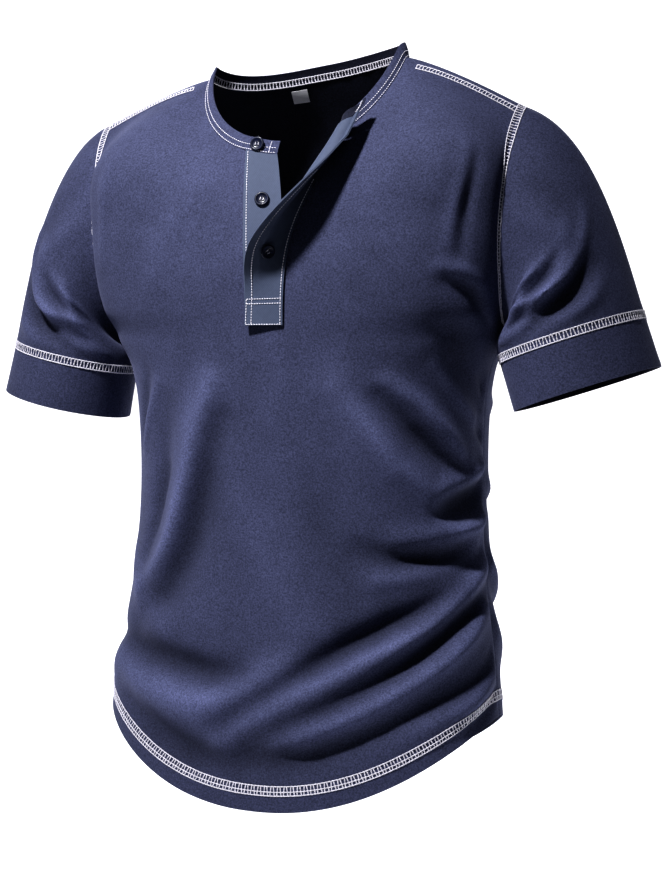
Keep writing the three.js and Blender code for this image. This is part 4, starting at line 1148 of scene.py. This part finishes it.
# Settings of the add-on
class HenleyCloth(bpy.types.PropertyGroup):
    jersey_shell: FloatProperty(
        name="Jersey thickness", description="Thickness of the knit cloth", default=0.0011, unit="LENGTH")
    band_shell: FloatProperty(
        name="Band thickness", description="Thickness of the doubled bands", default=0.0015, unit="LENGTH")
    navy: FloatVectorProperty(
        name="Jersey colour", description="Dye of the jersey", size=4, subtype="COLOR",
        default=hex_colour("#494d68"))
    slate: FloatVectorProperty(
        name="Placket colour", description="Dye of the placket", size=4, subtype="COLOR",
        default=hex_colour("#525b72"))
    label: FloatVectorProperty(
        name="Label colour", description="Colour of the label tape", size=4, subtype="COLOR",
        default=hex_colour("#f5f5fd"))


class HenleyTrim(bpy.types.PropertyGroup):
    flatlock_thread: FloatProperty(
        name="Flatlock thread", description="Thickness of the flatlock thread", default=0.0014, unit="LENGTH")
    lock_thread: FloatProperty(
        name="Lockstitch thread", description="Thickness of the lockstitch thread", default=0.00105,
        unit="LENGTH")
    pitch: FloatProperty(
        name="Stitch pitch", description="Distance from one rung to the next", default=0.0033, unit="LENGTH")
    button_radius: FloatProperty(
        name="Button radius", description="Radius of a button", default=0.007, unit="LENGTH")
    thread: FloatVectorProperty(
        name="Thread colour", description="Colour of the contrast thread", size=4, subtype="COLOR",
        default=hex_colour("#f1effc"))
    resin: FloatVectorProperty(
        name="Button colour", description="Colour of the buttons", size=4, subtype="COLOR",
        default=hex_colour("#1a2038"))


class HenleyStage(bpy.types.PropertyGroup):
    floor_height: FloatProperty(
        name="Floor height", description="Height of the studio floor", default=-0.84, unit="LENGTH")
    key_power: FloatProperty(
        name="Key light", description="Power of the main light", default=365.0, unit="POWER")
    fill_power: FloatProperty(
        name="Fill light", description="Power of the fill light", default=2.5, unit="POWER")
    back_power: FloatProperty(
        name="Back light", description="Power of the light on the back", default=20.0, unit="POWER")
    paper: FloatVectorProperty(
        name="Paper colour", description="Colour of the studio paper", size=4, subtype="COLOR",
        default=hex_colour("#f4f4f6"))


def material_for(name, make, *values):
    """A material made once and then used again."""
    return bpy.data.materials.get(name) or make(*values)


def finish_piece(piece, material, node=None):
    """Gives a piece its material and its place in the part."""
    piece.data.materials.clear()
    piece.data.materials.append(material)
    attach(piece, BODY)
    if node:
        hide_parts(node)


class HENLEY_OT_body(bpy.types.Operator):
    """Builds the front and back panels"""
    bl_idname = "henley.body"
    bl_label = "Build the body"

    def execute(self, context):
        cloth = context.scene.henley_cloth
        jersey = material_for("Brushed cotton jersey", brushed_jersey, cloth.navy)
        for face, sign in (("front", 1), ("back", -1)):
            at, out, held, crest = panel_grid(face)
            name = f"{face}_panel"
            piece = cloth_wall(name, at, out, cloth.jersey_shell / MM, sign, present=held, crest=crest)
            finish_piece(piece, jersey, name)
        return {"FINISHED"}


class HENLEY_OT_sleeves(bpy.types.Operator):
    """Builds the sleeves and their cuffs"""
    bl_idname = "henley.sleeves"
    bl_label = "Build the sleeves"

    def execute(self, context):
        cloth = context.scene.henley_cloth
        jersey = material_for("Brushed cotton jersey", brushed_jersey, cloth.navy)
        for sleeve in SLEEVES:
            for kind, point_at, rows in SLEEVE_PARTS:
                at, out, crest = tube_grid(sleeve, point_at, rows)
                name = f"{kind}_{sleeve.name}"
                piece = cloth_wall(name, at, out, cloth.jersey_shell / MM, -sleeve.side, wrap=True,
                                   crest=crest)
                finish_piece(piece, jersey, name)
        return {"FINISHED"}


class HENLEY_OT_placket(bpy.types.Operator):
    """Builds the button stand and the buttonhole band"""
    bl_idname = "henley.placket"
    bl_label = "Build the placket"

    def execute(self, context):
        cloth = context.scene.henley_cloth
        twill = material_for("Cotton twill", cotton_twill, cloth.slate)
        thickness = cloth.band_shell / MM
        t = np.linspace(0, 1, 15)[None]
        levels = np.linspace(SLOT_LEVEL + FOOT_LAP, 1, 61)[:, None]
        at = stand(levels, t)
        piece = cloth_wall("button_stand", at, grid_out(at, 1), thickness, 1)
        finish_piece(piece, twill, "button_stand")
        t = np.linspace(1, 0, 25)[None]
        levels = np.linspace(SLOT_LEVEL - FOOT_LAP, 1, 91)[:, None]
        at = band(levels, t)
        piece = cloth_wall("buttonhole_band", at, grid_out(at, 1), thickness, 1)
        finish_piece(piece, twill, "buttonhole_band")
        return {"FINISHED"}


class HENLEY_OT_neck(bpy.types.Operator):
    """Builds the neckband and the size label"""
    bl_idname = "henley.neck"
    bl_label = "Build the neck"

    def execute(self, context):
        cloth = context.scene.henley_cloth
        jersey = material_for("Brushed cotton jersey", brushed_jersey, cloth.navy)
        place = np.linspace(0, 1, 301)[None]
        height = np.linspace(0.1, BAND_HEIGHT, 9)[:, None]
        at = neckband(place, height)
        out = grid_out(at, -1)
        at = at + out * (0.7 * np.sin(pi * height / BAND_HEIGHT))[..., None]
        piece = cloth_wall("neckband", at, grid_out(at, -1), cloth.band_shell / MM, -1)
        finish_piece(piece, jersey, "neckband")
        tape = material_for("Woven label tape", woven_tape, cloth.label)
        x = LABEL.x + np.linspace(-0.5, 0.5, 9) * LABEL.width
        across = np.arcsin(x / NECK_HALF) / (pi / 2) * NECK_ACROSS
        one = np.ones(9)
        drop = plain_panel("back", across, one) - plain_panel("back", across, one * 0.99)
        per_mm = 0.01 / np.linalg.norm(drop, axis=-1)
        rise = np.linspace(0, 1, 9)[:, None]
        level = 1 - (LABEL.below + LABEL.height * (1 - rise)) * per_mm
        across = np.broadcast_to(across, level.shape)
        at = panel("back", across, level)
        inwards = JERSEY_WALL + LABEL.gap + LABEL.bulge * np.sin(pi * rise)[..., None]
        at = at - panel_out("back", across, level)[0] * inwards
        piece = cloth_wall("size_label", at, grid_out(at, -1), LABEL.wall, -1)
        finish_piece(piece, tape, "size_label")
        return {"FINISHED"}


# A button's half outline: distance from its axis and height over its back.
BUTTON_OUTLINE = [(0, 1.25), (2.2, 1.25), (3.7, 1.35), (4.5, 1.75), (5.2, 2.3), (5.8, 2.4), (6.4, 2.25),
                  (6.85, 1.75), (7.0, 1.2), (6.8, 0.6), (6.2, 0.15), (5.2, 0), (0, 0)]
BUTTON_SIDES = 56
HOLE_RADIUS = 0.85
HOLE_SPREAD = 2.1
HOLE_SIDES = 18
HOLE_REACH = (-1, 4)
NECK_BUTTON_T = 1 / 3
NECK_BUTTON_HEIGHT = 7.8
NECK_BUTTON_TIP = (1, 1, 0.45)
SEWN_LENGTH = 3.5
SEWN_THREAD = 0.5
SEWN_LIFTS = (0.0, 0.25)


def button_mesh(radius):
    """A dished disc with a raised rim and four holes, facing +Z."""
    share = radius / BUTTON_OUTLINE[8][0]
    turn = np.arange(BUTTON_SIDES) / BUTTON_SIDES * tau
    rings = np.array(BUTTON_OUTLINE[1:-1]) * share
    verts = [(r * np.cos(a), r * np.sin(a), z) for r, z in rings for a in turn]
    faces = []
    for k in range(len(rings) - 1):
        for i in range(BUTTON_SIDES):
            n = (i + 1) % BUTTON_SIDES
            faces.append((k * BUTTON_SIDES + i, (k + 1) * BUTTON_SIDES + i,
                          (k + 1) * BUTTON_SIDES + n, k * BUTTON_SIDES + n))
    faces.append(tuple(range(BUTTON_SIDES)))
    faces.append(tuple(reversed(range((len(rings) - 1) * BUTTON_SIDES, len(rings) * BUTTON_SIDES))))
    disc = new_piece("disc", verts, faces)
    cut_verts, cut_faces = [], []
    for hole in range(4):
        middle = (hole + 0.5) * pi / 2
        start = len(cut_verts)
        for z in HOLE_REACH:
            for k in range(HOLE_SIDES):
                a = k / HOLE_SIDES * tau
                cut_verts.append((HOLE_SPREAD * np.cos(middle) + HOLE_RADIUS * np.cos(a),
                                  HOLE_SPREAD * np.sin(middle) + HOLE_RADIUS * np.sin(a), z))
        end = start + HOLE_SIDES
        for k in range(HOLE_SIDES):
            n = (k + 1) % HOLE_SIDES
            cut_faces.append((start + k, start + n, end + n, end + k))
        cut_faces.append(tuple(start + k for k in reversed(range(HOLE_SIDES))))
        cut_faces.append(tuple(end + k for k in range(HOLE_SIDES)))
    cutter = new_piece("cutter", cut_verts, cut_faces)
    cut = disc.modifiers.new("Holes", "BOOLEAN")
    cut.operation, cut.solver, cut.object = "DIFFERENCE", "EXACT", cutter
    mesh = bpy.data.meshes.new_from_object(disc.evaluated_get(bpy.context.evaluated_depsgraph_get()))
    bpy.data.objects.remove(disc)
    bpy.data.objects.remove(cutter)
    mesh.set_sharp_from_angle(angle=radians(40))
    return mesh


def facing_strip(point_at, level, sign):
    wide = (point_at(level, 0.6) - point_at(level, 0.4)) * sign
    high = point_at(level + 0.01, 0.5) - point_at(level - 0.01, 0.5)
    return unit(np.cross(wide, high))


def button_places():
    """Where each button sits and the way it faces."""
    place = (1 - NECK_BUTTON_T) / (1 - STAND_START) * (STAND_STEPS - 1) / (len(NECK_PATH) - 1)
    step = 5 / (len(NECK_PATH) - 1)
    neck = neckband(place, NECK_BUTTON_HEIGHT)
    wide = neckband(place + step, NECK_BUTTON_HEIGHT) - neckband(place - step, NECK_BUTTON_HEIGHT)
    neck_out = -unit(np.cross(wide, neckband(place, BAND_HEIGHT - 1) - neckband(place, 1)))
    neck_out = unit(neck_out * NECK_BUTTON_TIP)
    stand_level = level_at_height(STAND_BUTTON_HEIGHT)
    band_level = level_at_height(BAND_BUTTON_HEIGHT)
    return [
        ("button_1", neck, neck_out, 1.7),
        ("button_2", stand(stand_level, 0.5), facing_strip(stand, stand_level, 1), 0.5),
        ("button_3", band(band_level, 0.5), facing_strip(band, band_level, -1), 1.4),
    ]


class HENLEY_OT_buttons(bpy.types.Operator):
    """Builds the buttons and the thread that holds them"""
    bl_idname = "henley.buttons"
    bl_label = "Build the buttons"

    def execute(self, context):
        trim = context.scene.henley_trim
        resin = material_for("Polished polyester resin", polished_resin, trim.resin)
        thread = material_for("Polyester thread", polyester_thread, trim.thread)
        tree, sockets = stitch_tree()
        for name, at, out, shank in button_places():
            mesh = button_mesh(trim.button_radius / MM)
            turn = Vector((0, 0, 1)).rotation_difference(Vector(out)).to_matrix()
            start = np.array(at) + np.array(out) * shank
            mesh.transform(Matrix.Translation(Vector(start * MM)) @ turn.to_4x4())
            mesh.name = f"{name}_disc"
            piece = bpy.data.objects.new(mesh.name, mesh)
            bpy.context.scene.collection.objects.link(piece)
            finish_piece(piece, resin, name)
            sewn = Stitches(None)
            spread_out = HOLE_SPREAD * np.sqrt(0.5)
            for across in (-spread_out, spread_out):
                for lift in SEWN_LIFTS:
                    local = np.array(turn @ Vector((across + lift - 0.12, 0, 1.35 + lift * 0.4)))
                    along = np.array(turn @ Vector((0, 1, 0)))
                    sewn.add((start + local)[None], along[None], np.array(out)[None], SEWN_LENGTH)
            piece = lay_stitches(f"{name}_thread", sewn, tree, sockets, SEWN_THREAD, thread)
            finish_piece(piece, thread)
        bpy.data.node_groups.remove(tree)
        return {"FINISHED"}


# Lockstitched lines of the buttonhole band: from one height to another over the band's foot, in
# millimetres, at a share of its width from the hinge.
BandLine = namedtuple("BandLine", "name start stop t")
BAND_LINES = [
    BandLine("hinge", 0.8, 157, 0.06),
    BandLine("box edge", 0.8, 27, 0.965),
    BandLine("free edge", 0.8, 156, 0.82),
]
BOX_LINES = (0.9, 22.0, 27.0)
NECKBAND_LINES = (1.4, 6.4)
NECKBAND_ENDS = (0.016, 0.984, 0.975)
STAND_LINE = 0.09
BACK_NECK_LINE = 3.6

# Flatlock by seam: the width across its rungs and how far its thread lies off the cloth.
Flatlock = namedtuple("Flatlock", "width lift")
FLATLOCK = {
    "armhole": Flatlock(7.4, 0.4),
    "shoulder": Flatlock(6.4, 0.35),
    "cuff": Flatlock(7.4, 0.4),
    "hem": Flatlock(8.6, 0.4),
    "back_neck": Flatlock(6.0, 0.3),
}
HEM_RAILS = (0.5, -0.1, -0.5)

# Lockstitching by line: its pitch, the share of the pitch that a stitch fills, and its lift.
Lockstitch = namedtuple("Lockstitch", "pitch share lift")
NECKBAND_LOCK = Lockstitch(2.6, 0.84, 0.2)
END_LOCK = Lockstitch(2.4, 0.86, 0.25)
INNER_END_LOCK = Lockstitch(2.4, 0.9, 0.3)
STAND_LOCK = Lockstitch(2.6, 0.86, 0.3)
BAND_LOCK = Lockstitch(2.6, 0.88, 0.3)
BOX_LOCK = Lockstitch(2.5, 0.88, 0.3)


class HENLEY_OT_stitching(bpy.types.Operator):
    """Lays the flatlock and the lockstitching"""
    bl_idname = "henley.stitching"
    bl_label = "Lay the stitching"

    def execute(self, context):
        trim = context.scene.henley_trim
        cloth = context.scene.henley_cloth
        thread = material_for("Polyester thread", polyester_thread, trim.thread)
        tree, sockets = stitch_tree()
        pitch = trim.pitch / MM
        inside = cloth.band_shell / MM + 0.25
        knit = Cloth(["front_panel", "back_panel", "sleeve_left", "sleeve_right", "cuff_left", "cuff_right"])
        neck = Cloth(["neckband"])
        seams = {}
        for sleeve in SLEEVES:
            for kind, line in (("armhole", armhole_seam), ("shoulder", shoulder_seam), ("cuff", cuff_seam)):
                run = seams[f"{kind}_flatlock_{sleeve.name}"] = Stitches(knit)
                run.ladder(*line(sleeve), pitch, *FLATLOCK[kind])
        for face, up in (("front", 1), ("back", -1)):
            run = seams[f"hem_flatlock_{face}"] = Stitches(knit)
            run.ladder(*hem_seam(face), pitch, *FLATLOCK["hem"], rails=[rail * up for rail in HEM_RAILS])
        run = seams["back_neck_flatlock"] = Stitches(Cloth(["neckband"], INSIDE))
        first = STAND_STEPS + RIGHT_STEPS
        place = np.linspace(first, first + BACK_STEPS - 3, 90) / (len(NECK_PATH) - 1)
        out = neckband_out(place, 3.0)
        run.ladder(neckband(place, BACK_NECK_LINE) - out * inside, -out, pitch, *FLATLOCK["back_neck"])
        run = seams["neckband_lockstitch"] = Stitches(neck)
        place = np.linspace(0.004, 0.996, 500)
        for height in NECKBAND_LINES:
            run.dashes(neckband(place, height), neckband_out(place, height), *NECKBAND_LOCK)
        rise = np.linspace(1, BAND_HEIGHT - 1, 14)
        for end in NECKBAND_ENDS:
            run.dashes(neckband(end, rise), neckband_out(end, rise), *END_LOCK)
        run = seams["neckband_end_lockstitch"] = Stitches(Cloth(["neckband"], INSIDE))
        for end in NECKBAND_ENDS[1:]:
            out = neckband_out(end, rise)
            run.dashes(neckband(end, rise) - out * inside, -out, *INNER_END_LOCK)
        run = seams["stand_lockstitch"] = Stitches(Cloth(["button_stand"]))
        levels = np.linspace(SLOT_LEVEL + 0.012, 0.998, 160)
        run.dashes(*strip_line(stand, levels, STAND_LINE, 0.1), *STAND_LOCK)
        outer, inner = Stitches(Cloth(["buttonhole_band"])), Stitches(Cloth(["buttonhole_band"], INSIDE))
        seams["band_lockstitch"], seams["band_inner_lockstitch"] = outer, inner
        foot, top = SLOT_LEVEL - FOOT_LAP, 1.0
        length = float(lengths_along(band(np.linspace(foot, top, 200), np.zeros(200)), 0)[-1])
        for line in BAND_LINES:
            share = np.linspace(line.start, min(line.stop, length - 2), 170) / length
            for run, lifted in ((outer, 0.1), (inner, -inside)):
                run.dashes(*strip_line(band, mix(foot, top, share), line.t, lifted), *BAND_LOCK)
        for height in BOX_LINES:
            level = np.full(40, mix(foot, top, height / length))
            outer.dashes(*strip_line(band, level, np.linspace(0.03, 0.97, 40), 0.1), *BOX_LOCK)
        for name, run in seams.items():
            flat = "lockstitch" not in name
            thickness = (trim.flatlock_thread if flat else trim.lock_thread) / MM
            piece = lay_stitches(name, run, tree, sockets, thickness, thread)
            finish_piece(piece, thread)
        bpy.data.node_groups.remove(tree)
        return {"FINISHED"}


# Studio, in metres and degrees. A lamp stands at an azimuth round the shirt, a height and a distance.
Lamp = namedtuple("Lamp", "name kind azimuth height distance size colour")
KEY = Lamp("Key", "SPOT", -20, 1.75, 1.5, 0.3, (1.0, 0.99, 0.98))
FILL = Lamp("Fill", "AREA", 20, 0.5, 2.6, 1.2, (0.92, 0.95, 1.0))
BACK = Lamp("Back", "AREA", 200, 1.3, 2.0, 0.9, (0.95, 0.97, 1.0))
SPOT_ANGLE = 22.5
LIGHT_AIM = (0, 0, -0.34)
WORLD_GLOW = 0.02


def place_light(lamp, power):
    """A soft light aimed at the shirt's middle."""
    data = bpy.data.lights.new(lamp.name, lamp.kind)
    data.energy, data.color = power, lamp.colour
    if lamp.kind == "SPOT":
        data.shadow_soft_size, data.spot_size, data.spot_blend = lamp.size / 2, radians(SPOT_ANGLE), 1.0
    else:
        data.shape, data.size = "DISK", lamp.size
    light = bpy.data.objects.new(lamp.name, data)
    bpy.context.scene.collection.objects.link(light)
    turn = radians(lamp.azimuth)
    light.location = Vector((np.sin(turn) * lamp.distance, -np.cos(turn) * lamp.distance, lamp.height))
    light.rotation_euler = (Vector(LIGHT_AIM) - light.location).to_track_quat("-Z", "Y").to_euler()


CAMERA_AZIMUTH = 22.52
CAMERA_ELEVATION = 4.16
CAMERA_DISTANCE = 1.806
CAMERA_AIM = (0, 0, -0.378)
CAMERA_LENS = 73.99
CAMERA_SHIFT = (0.0277, 0.0077)
PAPER_WIDTH = 9.0
PAPER_FLAT = 4.6
PAPER_BEND = 1.4
PAPER_TOP = 7.0
PAPER_FRONT = -0.45
PAPER_GLOW = 0.72


class HENLEY_OT_stage(bpy.types.Operator):
    """Builds the studio, its lights and the camera"""
    bl_idname = "henley.stage"
    bl_label = "Build the stage"

    def execute(self, context):
        stage = context.scene.henley_stage
        paper = studio_paper(stage.paper, PAPER_GLOW)
        floor = stage.floor_height / MM
        bend = np.linspace(0, pi / 2, 14)
        line = [(PAPER_FRONT / MM, floor)]
        for a in bend:
            up = floor + PAPER_BEND / MM * (1 - np.cos(a))
            line.append(((PAPER_FLAT + PAPER_BEND * np.sin(a)) / MM, up))
        line.append(((PAPER_FLAT + PAPER_BEND) / MM, PAPER_TOP / MM))
        turned = radians(CAMERA_AZIMUTH)
        verts = []
        for along, up in line:
            for side in (-PAPER_WIDTH / MM, PAPER_WIDTH / MM):
                verts.append((side * np.cos(turned) - along * np.sin(turned),
                              side * np.sin(turned) + along * np.cos(turned), up))
        faces = [(2 * k, 2 * k + 1, 2 * k + 3, 2 * k + 2) for k in range(len(line) - 1)]
        ground = new_piece("studio_paper", verts, faces)
        ground.data.materials.append(paper)
        place_light(KEY, stage.key_power)
        place_light(FILL, stage.fill_power)
        place_light(BACK, stage.back_power)
        world = bpy.data.worlds.new("Studio")
        world.use_nodes = True
        sky = world.node_tree.nodes["Background"]
        sky.inputs["Color"].default_value = hex_colour("#f0f2ff")
        sky.inputs["Strength"].default_value = WORLD_GLOW
        context.scene.world = world
        context.scene.view_settings.view_transform = "Standard"
        context.scene.view_settings.look = "High Contrast"
        data = bpy.data.cameras.new("Camera")
        data.sensor_width = 36.0
        data.lens = CAMERA_LENS
        data.shift_x, data.shift_y = CAMERA_SHIFT
        data.clip_start, data.clip_end = 0.05, 30.0
        camera = bpy.data.objects.new("Camera", data)
        context.scene.collection.objects.link(camera)
        a, e = radians(CAMERA_AZIMUTH), radians(CAMERA_ELEVATION)
        back = Vector((np.sin(a) * np.cos(e), -np.cos(a) * np.cos(e), np.sin(e)))
        camera.location = Vector(CAMERA_AIM) + back * CAMERA_DISTANCE
        camera.rotation_euler = (-back).to_track_quat("-Z", "Y").to_euler()
        context.scene.camera = camera
        return {"FINISHED"}


class HENLEY_PT_panel(bpy.types.Panel):
    """Sidebar panel of the shirt"""
    bl_label = "Henley shirt"
    bl_idname = "HENLEY_PT_panel"
    bl_space_type = "VIEW_3D"
    bl_region_type = "UI"
    bl_category = "Henley"

    def draw(self, context):
        for group in (context.scene.henley_cloth, context.scene.henley_trim, context.scene.henley_stage):
            box = self.layout.box()
            for key in group.__annotations__:
                box.prop(group, key)
        for step in STEPS:
            self.layout.operator(step.bl_idname)


STEPS = [
    HENLEY_OT_body, HENLEY_OT_sleeves, HENLEY_OT_placket, HENLEY_OT_neck,
    HENLEY_OT_buttons, HENLEY_OT_stitching, HENLEY_OT_stage,
]
GROUPS = {"henley_cloth": HenleyCloth, "henley_trim": HenleyTrim, "henley_stage": HenleyStage}


def register():
    for group in (*GROUPS.values(), *STEPS, HENLEY_PT_panel):
        bpy.utils.register_class(group)
    for name, group in GROUPS.items():
        setattr(bpy.types.Scene, name, PointerProperty(type=group))


def unregister():
    for name in GROUPS:
        delattr(bpy.types.Scene, name)
    for group in reversed((*GROUPS.values(), *STEPS, HENLEY_PT_panel)):
        bpy.utils.unregister_class(group)


def main():
    register()
    bpy.ops.henley.body()
    bpy.ops.henley.sleeves()
    bpy.ops.henley.placket()
    bpy.ops.henley.neck()
    bpy.ops.henley.buttons()
    bpy.ops.henley.stitching()
    bpy.ops.henley.stage()


if __name__ == "__main__":
    main()
